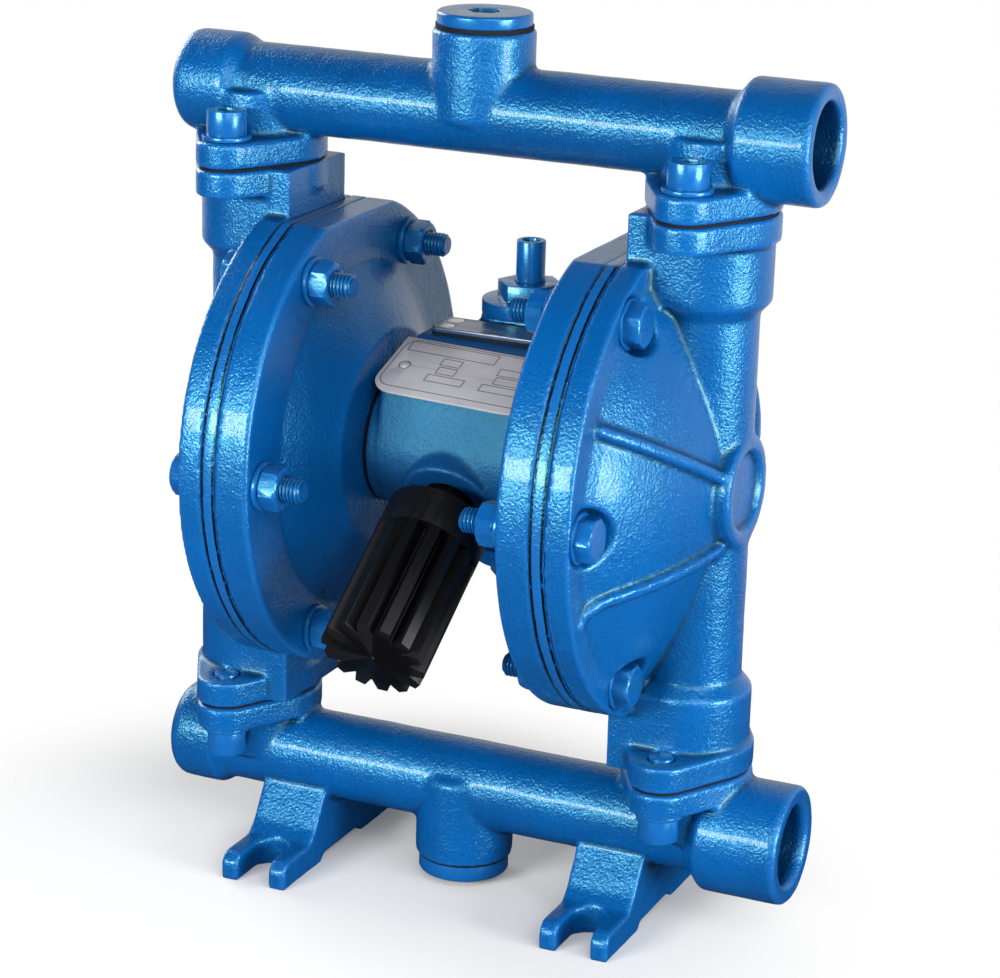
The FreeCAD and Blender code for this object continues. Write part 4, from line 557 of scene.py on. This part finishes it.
def angle_smoothing() -> bpy.types.NodeTree:
    """Return a geometry tree that shades smooth except across sharp edges."""
    name = "smooth_by_angle"
    if name in bpy.data.node_groups:
        return bpy.data.node_groups[name]
    tree = bpy.data.node_groups.new(name, "GeometryNodeTree")
    tree.interface.new_socket("Geometry", in_out="INPUT", socket_type="NodeSocketGeometry")
    tree.interface.new_socket("Geometry", in_out="OUTPUT", socket_type="NodeSocketGeometry")
    source = tree.nodes.new("NodeGroupInput")
    angle = tree.nodes.new("GeometryNodeInputMeshEdgeAngle")
    sharp = tree.nodes.new("FunctionNodeCompare")
    sharp.data_type = "FLOAT"
    sharp.operation = "LESS_EQUAL"
    sharp.inputs["B"].default_value = SHARP_ANGLE
    faces = tree.nodes.new("GeometryNodeSetShadeSmooth")
    faces.domain = "FACE"
    edges = tree.nodes.new("GeometryNodeSetShadeSmooth")
    edges.domain = "EDGE"
    target = tree.nodes.new("NodeGroupOutput")
    links = tree.links
    links.new(angle.outputs["Unsigned Angle"], sharp.inputs["A"])
    links.new(source.outputs[0], faces.inputs["Geometry"])
    links.new(faces.outputs[0], edges.inputs["Geometry"])
    links.new(sharp.outputs[0], edges.inputs["Shade Smooth"])
    links.new(edges.outputs[0], target.inputs[0])
    return tree


@dataclass
class SolidDresser:
    """Gives CAD solids their surface and their material.

    Attributes:
        skin: Whether the solid is cast or machined.
        voxel: Grid of a casting's skin in metres.
        rounds: Smoothing passes that round a casting's edges.
        bevel: Width of a machined part's broken edges in metres.
    """

    skin: Skin
    voxel: float = 0.8 * MM
    rounds: int = 5
    bevel: float = 0.3 * MM

    def dress(self, nodes: Iterable[str], finish: "Enamel | Plain | PrintedPlate") -> None:
        """Finish the named solids.

        Args:
            nodes: Names of the CAD nodes.
            finish: What they are made of or painted with.
        """
        for name in nodes:
            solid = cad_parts[name]
            self._paint(solid, SHOP.take(finish))
            weld = solid.modifiers.new("weld", "WELD")
            weld.merge_threshold = WELD_DISTANCE
            if self.skin is Skin.CAST:
                self._cast(solid, finish)
            else:
                self._machine(solid)
            log.info("dressed %s as %s", name, finish.name)

    @staticmethod
    def _paint(solid: bpy.types.Object, material: bpy.types.Material) -> None:
        """Put one material in all slots of a solid."""
        if not solid.material_slots:
            solid.data.materials.append(material)
        for holder in solid.material_slots:
            holder.material = material

    def _cast(self, solid: bpy.types.Object, finish: Enamel) -> None:
        """Round every edge and make the surface gently uneven."""
        skin = solid.modifiers.new("skin", "REMESH")
        skin.mode = "VOXEL"
        skin.voxel_size = self.voxel
        skin.use_smooth_shade = True
        rounding = solid.modifiers.new("rounding", "SMOOTH")
        rounding.factor = 0.5
        rounding.iterations = self.rounds
        waves = solid.modifiers.new("waves", "DISPLACE")
        waves.texture = wave_texture()
        waves.texture_coords = "LOCAL"
        waves.mid_level = WAVE_LEVEL
        waves.strength = finish.waviness

    def _machine(self, solid: bpy.types.Object) -> None:
        """Break the sharp edges and shade the round faces smooth."""
        if self.bevel > 0.0:
            edges = solid.modifiers.new("edges", "BEVEL")
            edges.width = self.bevel
            edges.segments = 2
            edges.limit_method = "ANGLE"
            edges.angle_limit = BEVEL_ANGLE
            edges.use_clamp_overlap = True
        shading = solid.modifiers.new("shading", "NODES")
        shading.node_group = angle_smoothing()


def wave_texture() -> bpy.types.Texture:
    """Return the slow waves of a sand-cast surface."""
    name = "casting_waves"
    if name not in bpy.data.textures:
        waves = bpy.data.textures.new(name, "CLOUDS")
        waves.noise_scale = WAVE_LENGTH
        waves.noise_depth = 2
    return bpy.data.textures[name]


class MeshKit:
    """Builds new meshes and puts them on a body of the pump."""

    @staticmethod
    def loose(
        name: str, points: list[Vector], faces: Faces, finish: "Enamel | Plain", slot: str,
    ) -> bpy.types.Object:
        """Make a piece that rides on no body yet.

        Args:
            name: The piece's name.
            points: Its vertices, in metres.
            faces: Its faces, as indices of points.
            finish: Its finish.
            slot: The record's material slot; not used.

        Returns:
            The new object.
        """
        mesh = bpy.data.meshes.new(name)
        mesh.from_pydata([tuple(point) for point in points], [], faces)
        mesh.validate()
        piece = new_object(name, mesh)
        mesh.materials.append(SHOP.take(finish))
        return piece

    @staticmethod
    def turned(name: str, lathe: "LatheMesh", finish: "Enamel | Plain", slot: str) -> bpy.types.Object:
        """Make a piece from a turned mesh, shaded smooth round its faces.

        Args:
            name: The piece's name.
            lathe: The mesh.
            finish: Its finish.
            slot: The record's material slot.

        Returns:
            The new object, riding on the pump's body.
        """
        piece = MeshKit.loose(name, lathe.points, lathe.faces, finish, slot)
        shading = piece.modifiers.new("shading", "NODES")
        shading.node_group = angle_smoothing()
        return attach(piece, BODY)


@dataclass
class LatheMesh:
    """Collects rings of points round an axis into one closed mesh.

    Attributes:
        origin: Where the axis starts.
        axis: Unit vector along the axis.
        side: Unit vector that marks angle zero.
        points: The vertices so far.
        faces: The faces so far.
    """

    origin: Vector
    axis: Vector
    side: Vector
    points: list[Vector] = field(default_factory=list)
    faces: Faces = field(default_factory=list)

    def ring(self, along: float, radius: Radius, count: int) -> list[int]:
        """Add a ring of points.

        Args:
            along: Distance along the axis.
            radius: Radius for an angle in radians.
            count: Number of points.

        Returns:
            The indices of the new points.
        """
        other = self.axis.cross(self.side)
        first = len(self.points)
        for index in range(count):
            angle = 2.0 * math.pi * index / count
            reach = radius(angle)
            spoke = self.side * (reach * math.cos(angle)) + other * (reach * math.sin(angle))
            self.points.append(self.origin + self.axis * along + spoke)
        return list(range(first, first + count))

    def skin(self, rings: list[list[int]], closed: bool = False) -> None:
        """Join rings of equal length with faces.

        Args:
            rings: The rings, in order.
            closed: Whether the last ring is joined to the first.
        """
        for low, high in zip(rings, rings[1:] + (rings[:1] if closed else [])):
            count = len(low)
            for index in range(count):
                after = (index + 1) % count
                self.faces.append((low[index], low[after], high[after], high[index]))

    def cap(self, ring: list[int], ahead: bool) -> None:
        """Close a ring with one face, which looks ahead along the axis or back."""
        self.faces.append(tuple(ring) if ahead else tuple(reversed(ring)))


def hexagon(across_flats: float, turn: float, limit: float) -> Radius:
    """Return the radius of a hexagon, cut back to a round limit, as a function of the angle.

    Args:
        across_flats: Width between opposite sides.
        turn: Angle of the middle of one side.
        limit: The largest radius.

    Returns:
        The function.
    """
    apothem = across_flats / 2.0

    def radius(angle: float) -> float:
        """Return the distance to the side or to the limit at an angle."""
        offset = (angle - turn + math.pi / 6.0) % (math.pi / 3.0) - math.pi / 6.0
        return min(apothem / math.cos(offset), limit)

    return radius


@dataclass
class ThreadedBolt:
    """A hexagon bolt with a chamfered head and a visible thread.

    Attributes:
        across_flats: Width of the head.
        head_height: Height of the head.
        radius: Outer radius of the thread.
        length: Length under the head.
        thread_length: Length of the threaded end.
        pitch: Pitch of the thread.
        depth: Depth of the thread.
        around: Number of points round the bolt.
        rings_per_turn: Number of rings of points in one turn of the thread.
        point_chamfer: Size of the chamfer at the thread's end.
        groove_half: Half of the width of the thread's groove, in pitches.
    """

    across_flats: float = 13.0 * MM
    head_height: float = 5.3 * MM
    radius: float = 4.0 * MM
    length: float = 39.5 * MM
    thread_length: float = 19.0 * MM
    pitch: float = 1.25 * MM
    depth: float = 0.62 * MM
    around: int = 48
    rings_per_turn: int = 8
    point_chamfer: float = 1.1 * MM
    groove_half: float = 0.42

    def add(self, lathe: LatheMesh, turn: float) -> None:
        """Add the bolt to a mesh whose axis runs from the head's seat to the thread's end.

        Args:
            lathe: The mesh that takes the bolt.
            turn: Angle of the head's hexagon.
        """
        count = self.around
        flat = self.across_flats / 2.0
        corner = self.across_flats / math.sqrt(3.0)
        top = -self.head_height
        head = [
            (top, 0.80 * flat), (top, 0.93 * flat), (top + 0.35 * MM, 1.02 * flat), (top + 1.0 * MM, corner),
            (-0.25 * MM, corner), (0.0, corner - 0.3 * MM),
        ]
        start = self.length - self.thread_length
        rings = [lathe.ring(along, hexagon(self.across_flats, turn, limit), count) for along, limit in head]
        rings += [lathe.ring(along, lambda angle: self.radius, count) for along in (0.0, start)]
        samples = int(self.thread_length / self.pitch * self.rings_per_turn)
        for index in range(1, samples):
            along = start + self.thread_length * index / samples
            rings.append(lathe.ring(along, self._thread_radius(along), count))
        rings.append(lathe.ring(self.length, lambda angle: self.radius - self.point_chamfer, count))
        lathe.skin(rings)
        lathe.cap(rings[0], False)
        lathe.cap(rings[-1], True)

    def _thread_radius(self, along: float) -> Radius:
        """Return the thread's radius as a function of the angle, at one place along the bolt."""
        taper = max(0.0, along - (self.length - self.point_chamfer))

        def radius(angle: float) -> float:
            """Return the radius on the helix."""
            phase = (along / self.pitch - angle / (2.0 * math.pi)) % 1.0
            groove = max(0.0, 1.0 - abs(phase - 0.5) / self.groove_half)
            return self.radius - self.depth * groove - taper

        return radius


@dataclass
class ChamberFasteners:
    """The hexagon bolts and nuts round both pumping chambers.

    Attributes:
        circle: Radius of the bolt circle.
        angles: Angles of the bolts up from level, at the front and behind, in degrees.
        seat_x: Distance of the heads' seats from the middle plane.
        nut_face_x: Distance of the nuts' seats from the middle plane.
        nut_height: Height of a nut.
        bolt: The bolt that is used throughout.
        head_turns: Turn of each head's hexagon, in degrees.
        nut_turns: Turn of each nut's hexagon, in degrees.
    """

    circle: float = 67.3 * MM
    angles: tuple[float, ...] = (59.3, -0.8, -62.3)
    seat_x: float = 66.7 * MM
    nut_face_x: float = 40.5 * MM
    nut_height: float = 6.5 * MM
    bolt: ThreadedBolt = field(default_factory=ThreadedBolt)
    head_turns: tuple[float, ...] = (31.0, 2.0, -3.0, 40.0, 20.0, 33.0)
    nut_turns: tuple[float, ...] = (22.0, 8.0, 35.0, 15.0, 50.0, 28.0)

    def _places(self) -> list[tuple[float, float]]:
        """Return the (y, z) places of the bolts, the front ones first."""
        places = []
        for front in (-1.0, 1.0):
            for degrees in self.angles:
                angle = math.radians(degrees)
                y = front * self.circle * math.cos(angle)
                places.append((y, ROD_AXIS_Z + self.circle * math.sin(angle)))
        return places

    def build(self) -> None:
        """Make the bolts and nuts of both chambers."""
        bolts = LatheMesh(Vector(), Vector((1, 0, 0)), Vector((0, 0, 1)))
        nuts = LatheMesh(Vector(), Vector((1, 0, 0)), Vector((0, 0, 1)))
        for side in (-1.0, 1.0):
            for index, (y, z) in enumerate(self._places()):
                inward = Vector((-side, 0, 0))
                bolts.origin = Vector((side * self.seat_x, y, z))
                bolts.axis = inward
                self.bolt.add(bolts, math.radians(self.head_turns[index]))
                nuts.origin = Vector((side * self.nut_face_x, y, z))
                nuts.axis = inward
                self._add_nut(nuts, math.radians(self.nut_turns[index]))
        heads = MeshKit.turned("bolts_threaded", bolts, SMOOTH_BLUE, "blue_fastener")
        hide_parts("chamber_bolts")
        collars = MeshKit.turned("nuts_chamfered", nuts, SMOOTH_BLUE, "blue_fastener")
        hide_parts("chamber_nuts")
        log.info("built %d bolts and nuts", 2 * len(self._places()))

    def _add_nut(self, lathe: LatheMesh, turn: float) -> None:
        """Add one nut to a mesh whose axis starts at the nut's seat."""
        width = self.bolt.across_flats
        flat = width / 2.0
        corner = width / math.sqrt(3.0)
        inner = self.bolt.radius + 0.05 * MM
        height = self.nut_height
        steps = [
            (0.0, inner), (0.0, 0.95 * flat), (0.3 * MM, 1.03 * flat), (0.9 * MM, corner),
            (height - 0.9 * MM, corner), (height - 0.3 * MM, 1.03 * flat), (height, 0.95 * flat),
            (height, inner + 0.5 * MM), (height - 0.5 * MM, inner),
        ]
        count = self.bolt.around
        rings = [lathe.ring(along, hexagon(width, turn, limit), count) for along, limit in steps]
        lathe.skin(rings, closed=True)


@dataclass
class Diaphragm:
    """One diaphragm: a rim that stays clamped and a web between the rim and the rod.

    Attributes:
        node: The CAD node that it stands for.
        side: 1 for the right chamber, -1 for the left one.
        seam_x: Distance of its air side from the middle plane.
        rim_thickness: Thickness of the rim.
        rim_inner: Inner radius of the rim.
        rim_outer: Outer radius of the rim.
        rim_flat: Half of the height between the flats of the rim.
        edge: Size of the broken edges of the rim.
        web_thickness: Thickness of the web at the plates.
        web_taper: Part of that thickness that is lost towards the rim.
        hole: Radius of the hole for the rod.
        clamp: Radius within which the plates hold the web.
        fold: Height of the rolling fold.
        fold_steps: Number of steps across the fold.
        free_from: How far inside the rim the web would begin to give; the point is worked out but not used.
        free_to: How far outside the plates it would move fully with them; the point is worked out but not
            used.
        wedges: Number of wedges that the web is made of.
        steps: Number of steps round one wedge.
        rim_points: Number of points round the rim.
    """

    node: str
    side: float
    seam_x: float = 53.6 * MM
    rim_thickness: float = 4.9 * MM
    rim_inner: float = 54.0 * MM
    rim_outer: float = 77.5 * MM
    rim_flat: float = 73.2 * MM
    edge: float = 0.4 * MM
    web_thickness: float = 3.4 * MM
    web_taper: float = 0.44
    hole: float = 5.2 * MM
    clamp: float = 38.0 * MM
    fold: float = 6.0 * MM
    fold_steps: int = 16
    free_from: float = 1.9 * MM
    free_to: float = 0.3 * MM
    wedges: int = 12
    steps: int = 6
    rim_points: int = 360

    def build(self) -> None:
        """Make the rim and the wedges of the web."""
        lathe = LatheMesh(self._point(0.0, 0.0, 0.0), Vector((self.side, 0, 0)), Vector((0, 0, 1)))
        thick = self.rim_thickness
        edge = self.edge
        count = self.rim_points
        sides = [(0.0, edge), (0.3 * edge, 0.3 * edge), (edge, 0.0)]
        outline = sides + [(thick - along, inset) for along, inset in reversed(sides)]
        rings = [lathe.ring(0.0, lambda angle: self.rim_inner, count)]
        rings += [lathe.ring(along, self._outline(inset), count) for along, inset in outline]
        rings.append(lathe.ring(thick, lambda angle: self.rim_inner, count))
        lathe.skin(rings, closed=True)
        rim = MeshKit.turned(self.node + "_rim", lathe, RIM_BLUE, "diaphragm_rubber")
        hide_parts(self.node)
        for index in range(self.wedges):
            self._wedge(index)
        log.info("built %s with a web of %d wedges", self.node, self.wedges)

    def _point(self, offset: float, radius: float, angle: float) -> Vector:
        """Return the place at an offset from the air side, a radius and an angle from upright."""
        across = self.side * (self.seam_x + offset)
        return Vector((across, radius * math.sin(angle), ROD_AXIS_Z + radius * math.cos(angle)))

    def _outline(self, inset: float) -> Radius:
        """Return the rim's outline, drawn in by inset, as a function of the angle."""
        level = 0.01
        return lambda angle: min(self.rim_outer, self.rim_flat / max(level, abs(math.cos(angle)))) - inset

    def _section(self) -> list[tuple[float, float]]:
        """Return the web's section as (offset, radius) pairs, out along the air side and back."""
        chord = self.rim_inner - self.clamp
        bow = (chord * chord / 4.0 + self.fold * self.fold) / (2.0 * self.fold)
        near = [(0.0, self.hole)]
        far = [(self.web_thickness, self.hole)]
        for index in range(self.fold_steps + 1):
            share = index / self.fold_steps
            rise = math.sqrt(bow * bow - (chord * (share - 0.5)) ** 2) - (bow - self.fold)
            radius = self.clamp + chord * share
            near.append((rise, radius))
            far.append((rise + self.web_thickness * (1.0 - self.web_taper * share), radius))
        return near + far[::-1]

    def _wedge(self, index: int) -> None:
        """Make one wedge of the web, between the clamped rim and the rod."""
        section = self._section()
        size = len(section)
        share = 2.0 * math.pi / self.wedges
        points: list[Vector] = []
        faces: Faces = []
        for step in range(self.steps + 1):
            angle = share * (index + step / self.steps)
            points += [self._point(offset, radius, angle) for offset, radius in section]
        for step in range(self.steps):
            for spot in range(size):
                after = (spot + 1) % size
                low = step * size
                high = low + size
                face = (low + spot, low + after, high + after, high + spot)
                faces.append(face if self.side > 0.0 else face[::-1])
        name = f"{self.node}_web_{index + 1:02d}"
        wedge = MeshKit.loose(name, points, faces, BLACK_RUBBER, "diaphragm_rubber")
        middle = share * (index + 0.5)
        start = self._point(0.0, self.rim_inner - self.free_from, middle)
        self._point(0.0, self.clamp + self.free_to, middle)
        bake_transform(wedge)


@dataclass
class Castings:
    """The cast pieces of the pump.

    Attributes:
        manifolds: The upper and the lower pipe.
        fluid_covers: The outer covers of the chambers.
        air_covers: The inner covers of the chambers.
        centre: The body between the chambers.
        valve: The housing of the air valve.
    """

    manifolds: tuple[str, ...] = ("discharge_manifold", "suction_manifold")
    fluid_covers: tuple[str, ...] = ("left_fluid_cover", "right_fluid_cover")
    air_covers: tuple[str, ...] = ("left_air_cover", "right_air_cover")
    centre: tuple[str, ...] = ("centre_body",)
    valve: tuple[str, ...] = ("valve_body",)

    def dress(self) -> None:
        """Give each casting its rounded skin and its paint."""
        rough = SolidDresser(Skin.CAST, voxel=0.9 * MM, rounds=5)
        rough.dress(self.manifolds, CAST_BLUE)
        rough.dress(self.fluid_covers, COVER_BLUE)
        fine = SolidDresser(Skin.CAST, voxel=0.8 * MM, rounds=4)
        fine.dress(self.air_covers, COVER_BLUE)
        fine.dress(self.centre, SHADED_CENTRE_BLUE)
        fine.dress(self.valve, COVER_BLUE)


@dataclass
class TurnedParts:
    """Machined, moulded and turned pieces that keep crisp edges.

    Attributes:
        painted: Pieces under the blue enamel.
        gaskets: Flat and round seals.
        steel: Bright steel pieces.
        aluminium: Plates, valve seats and the spool.
        brass: Bushes.
        balls: Check balls.
    """

    painted: tuple[str, ...] = (
        "top_boss_plug", "bottom_boss_plug", "chamber_washers", "manifold_screws", "manifold_washers",
        "valve_screws", "valve_cap", "valve_bottom_plug", "air_inlet_nipple",
    )
    gaskets: tuple[str, ...] = (
        "boss_plug_gaskets", "hub_gaskets", "rod_seals", "flange_seals", "valve_gasket", "lid_gasket",
    )
    steel: tuple[str, ...] = (
        "connecting_rod", "plate_nuts", "pilot_rod", "hub_screws", "lid_screws", "valve_sleeve",
    )
    aluminium: tuple[str, ...] = (
        "left_inner_plate", "right_inner_plate", "left_outer_plate", "right_outer_plate",
        "suction_seats", "discharge_seats", "valve_spool",
    )
    brass: tuple[str, ...] = ("rod_bushes", "pilot_bushes")
    balls: tuple[str, ...] = (
        "left_suction_ball", "right_suction_ball", "left_discharge_ball", "right_discharge_ball",
    )

    def dress(self) -> None:
        """Break the edges of each piece and give it its finish."""
        crisp = SolidDresser(Skin.MACHINED, bevel=0.4 * MM)
        sharp = SolidDresser(Skin.MACHINED, bevel=0.0)
        crisp.dress(self.painted, SMOOTH_BLUE)
        sharp.dress(self.gaskets, BLACK_GASKET)
        crisp.dress(self.steel, STEEL)
        crisp.dress(self.aluminium, ALUMINIUM)
        sharp.dress(self.brass, BRASS)
        sharp.dress(self.balls, BLACK_RUBBER)
        crisp.dress(("lid",), SHADED_LID)


@dataclass
class Silencer:
    """The black ribbed exhaust silencer.

    Attributes:
        node: Its CAD node.
        bevel: Width of its moulded edges.
    """

    node: str = "silencer"
    bevel: float = 0.35 * MM

    def dress(self) -> None:
        """Round its moulded edges and give it its plastic."""
        SolidDresser(Skin.MACHINED, bevel=self.bevel).dress((self.node,), BLACK_PLASTIC)


@dataclass
class Nameplate:
    """The printed plate on the sloping front of the centre body.

    Attributes:
        middle: Centre of the plate's seat.
        slope: Angle of the seat from level.
        turn: Angle by which the plate sits askew.
        half_width: Half of the plate's long side.
        half_height: Half of the plate's short side.
    """

    middle: Vector = field(default_factory=lambda: Vector((0.4 * MM, -9.306 * MM, 177.086 * MM)))
    slope: float = math.radians(22.1)
    turn: float = math.radians(3.3)
    half_width: float = 28.5 * MM
    half_height: float = 14.7 * MM

    def dress(self) -> None:
        """Print the plate's thin frames and finish its rivets."""
        level = Vector((1, 0, 0))
        rise = Vector((0, math.cos(self.slope), math.sin(self.slope)))
        across = level * math.cos(self.turn) - rise * math.sin(self.turn)
        up = level * math.sin(self.turn) + rise * math.cos(self.turn)
        printed = PrintedPlate("printed_plate", self.middle, across, up, self.half_width, self.half_height)
        plain = SolidDresser(Skin.MACHINED, bevel=0.1 * MM)
        plain.dress(("nameplate",), printed)
        plain.dress(("nameplate_rivets",), PALE_RIVET)


def outward(turn: float, lift: float) -> Vector:
    """Return a direction away from the pump.

    Args:
        turn: Degrees from the front towards the right.
        lift: Degrees above level.

    Returns:
        The unit vector.
    """
    level = math.cos(math.radians(lift))
    around = math.radians(turn)
    return Vector((math.sin(around) * level, -math.cos(around) * level, math.sin(math.radians(lift))))


@dataclass(frozen=True)
class Lamp:
    """A soft lamp that faces the pump.

    Attributes:
        name: The lamp's name.
        turn: Degrees from the front towards the right.
        lift: Degrees above level.
        wide: Width of its face in metres.
        tall: Height of its face in metres.
        power: Power in watts.
        distance: Distance from the pump in metres.
    """

    name: str
    turn: float
    lift: float
    wide: float
    tall: float
    power: float
    distance: float = 1.1

    def hang(self) -> None:
        """Put the lamp in its place."""
        light = bpy.data.lights.new(self.name, "AREA")
        light.shape = "RECTANGLE"
        light.size = self.wide
        light.size_y = self.tall
        light.energy = self.power
        lamp = new_object(self.name, light)
        toward = outward(self.turn, self.lift)
        lamp.location = Vector((0.0, 0.0, ROD_AXIS_Z)) + toward * self.distance
        lamp.rotation_euler = (-toward).to_track_quat("-Z", "Y").to_euler()


LAMPS = (
    Lamp("key", -19.0, 11.0, 0.50, 0.18, 17.0),
    Lamp("right", 78.0, 2.0, 0.50, 0.34, 18.0),
    Lamp("fill", 40.0, 28.0, 0.80, 0.80, 11.0),
    Lamp("back", -112.0, 24.0, 0.60, 0.60, 8.0),
)


@dataclass
class Studio:
    """The pale floor, the soft lights and the camera.

    Attributes:
        aim: The point that the camera looks at.
        azimuth: Turn of the camera round the pump, in degrees.
        elevation: Height of the camera above level, in degrees.
        roll: Turn of the camera about its own line of sight, in degrees.
        distance: Distance from the aim in metres.
        lens: Focal length in millimetres.
        sensor: Width of the camera's sensor in millimetres.
        reach: Half of the floor's width in metres.
        patch_middle: Middle of the shaded patch of the floor in metres.
        patch_radii: Where that patch begins and ends to fade into white, in metres.
        patch_glow: How much of the white backdrop shows in the middle of the patch.
        paper: Brightness of the floor's paper.
        mirrored_paper: Its brightness in reflections.
        paper_rise: Where the floor behind the pump turns bright in reflections, in metres.
        backdrop: Brightness of the backdrop in reflections.
        front: Brightness of the room in front of the pump in reflections.
        backdrop_rise: Where the backdrop begins and ends to turn bright, as a direction's Y.
        ambient: Brightness of the room as a light.
    """

    aim: Vector = field(default_factory=lambda: Vector((0.009654, 0.0, 0.138532)))
    azimuth: float = 23.852
    elevation: float = 17.325
    roll: float = 1.624
    distance: float = 0.99453
    lens: float = 109.526
    sensor: float = 36.0
    reach: float = 6.0
    patch_middle: tuple[float, float] = (-0.035, -0.030)
    patch_radii: tuple[float, float] = (0.10, 0.19)
    patch_glow: float = 0.08
    paper: float = 0.64
    mirrored_paper: float = 0.03
    paper_rise: tuple[float, float] = (0.15, 0.50)
    backdrop: float = 0.8
    front: float = 0.02
    backdrop_rise: tuple[float, float] = (0.2, 0.6)
    ambient: float = 0.20

    def build(self) -> None:
        """Make the whole studio."""
        self._camera()
        self._floor()
        self._world()
        for lamp in LAMPS:
            lamp.hang()
        log.info("built the studio")

    def _camera(self) -> None:
        """Place the camera."""
        turn = math.radians(self.azimuth)
        lean = math.radians(self.roll)
        forward = -outward(self.azimuth, self.elevation)
        level = Vector((math.cos(turn), math.sin(turn), 0.0))
        upright = level.cross(forward)
        right = level * math.cos(lean) + upright * math.sin(lean)
        up = upright * math.cos(lean) - level * math.sin(lean)
        lens = bpy.data.cameras.new("camera")
        lens.lens = self.lens
        lens.sensor_fit = "HORIZONTAL"
        lens.sensor_width = self.sensor
        lens.clip_start = 0.05
        lens.clip_end = 50.0
        camera = new_object("camera", lens)
        turned = Matrix((right, up, -forward)).transposed().to_4x4()
        camera.matrix_world = Matrix.Translation(self.aim - forward * self.distance) @ turned
        bpy.context.scene.camera = camera

    def _floor(self) -> None:
        """Lay the pale floor, which turns into the white backdrop away from the pump."""
        reach = self.reach
        mesh = bpy.data.meshes.new("floor")
        corners = [(-reach, -reach, 0.0), (reach, -reach, 0.0), (reach, reach, 0.0), (-reach, reach, 0.0)]
        mesh.from_pydata(corners, [], [(0, 1, 2, 3)])
        floor = new_object("floor", mesh)
        material = bpy.data.materials.new("floor_paper")
        canvas = Canvas(material)
        x, y, _ = canvas.axes()
        across = x - self.patch_middle[0]
        along = y - self.patch_middle[1]
        away = (across * across + along * along) ** 0.5
        far = away.ramp(*self.patch_radii, self.patch_glow, 1.0)
        seen = canvas.node("ShaderNodeLightPath", output="Is Camera Ray")
        mirrored = canvas.node("ShaderNodeLightPath", output="Is Glossy Ray")
        paper = canvas.node("ShaderNodeBsdfDiffuse", None, {"Color": (*[self.paper] * 3, 1.0)})
        dim = canvas.node("ShaderNodeBsdfDiffuse", None, {"Color": (*[self.mirrored_paper] * 3, 1.0)})
        glow = canvas.node("ShaderNodeEmission", None, {"Color": (1.0, 1.0, 1.0, 1.0), "Strength": 1.0})
        ground = canvas.node("ShaderNodeMixShader", None, {0: mirrored, 1: paper, 2: dim})
        share = far * seen + y.ramp(*self.paper_rise, 0.0, self.backdrop) * mirrored
        mixed = canvas.node("ShaderNodeMixShader", None, {0: share, 1: ground, 2: glow})
        canvas.node("ShaderNodeOutputMaterial", None, {"Surface": mixed})
        mesh.materials.append(material)

    def _world(self) -> None:
        """Light the studio evenly and show white behind the pump and in reflections."""
        world = bpy.data.worlds.new("studio")
        bpy.context.scene.world = world
        sky = Canvas(world)
        rays = ("Is Camera Ray", "Is Glossy Ray", "Is Transmission Ray")
        seen, glossy, through = (sky.node("ShaderNodeLightPath", output=ray) for ray in rays)
        facing = sky.node("ShaderNodeTexCoord", output="Generated")
        behind = sky.node("ShaderNodeSeparateXYZ", None, {0: facing}, 1)
        shown = behind.ramp(*self.backdrop_rise, self.front, self.backdrop)
        strength = self.ambient + (shown - self.ambient) * glossy
        strength = strength + (1.0 - strength) * seen.highest(through)
        light = sky.node("ShaderNodeBackground", None, {"Color": (1.0, 1.0, 1.0, 1.0), "Strength": strength})
        sky.node("ShaderNodeOutputWorld", None, {"Surface": light})


def main() -> None:
    """Dress the pump and build its studio."""
    logging.basicConfig(level=logging.INFO, format="%(message)s")
    bpy.context.scene.view_settings.view_transform = "Standard"
    Castings().dress()
    TurnedParts().dress()
    Silencer().dress()
    Nameplate().dress()
    ChamberFasteners().build()
    Diaphragm("left_diaphragm", -1.0).build()
    Diaphragm("right_diaphragm", 1.0).build()
    Studio().build()
    bpy.context.view_layer.update()


if __name__ == "__main__":
    main()
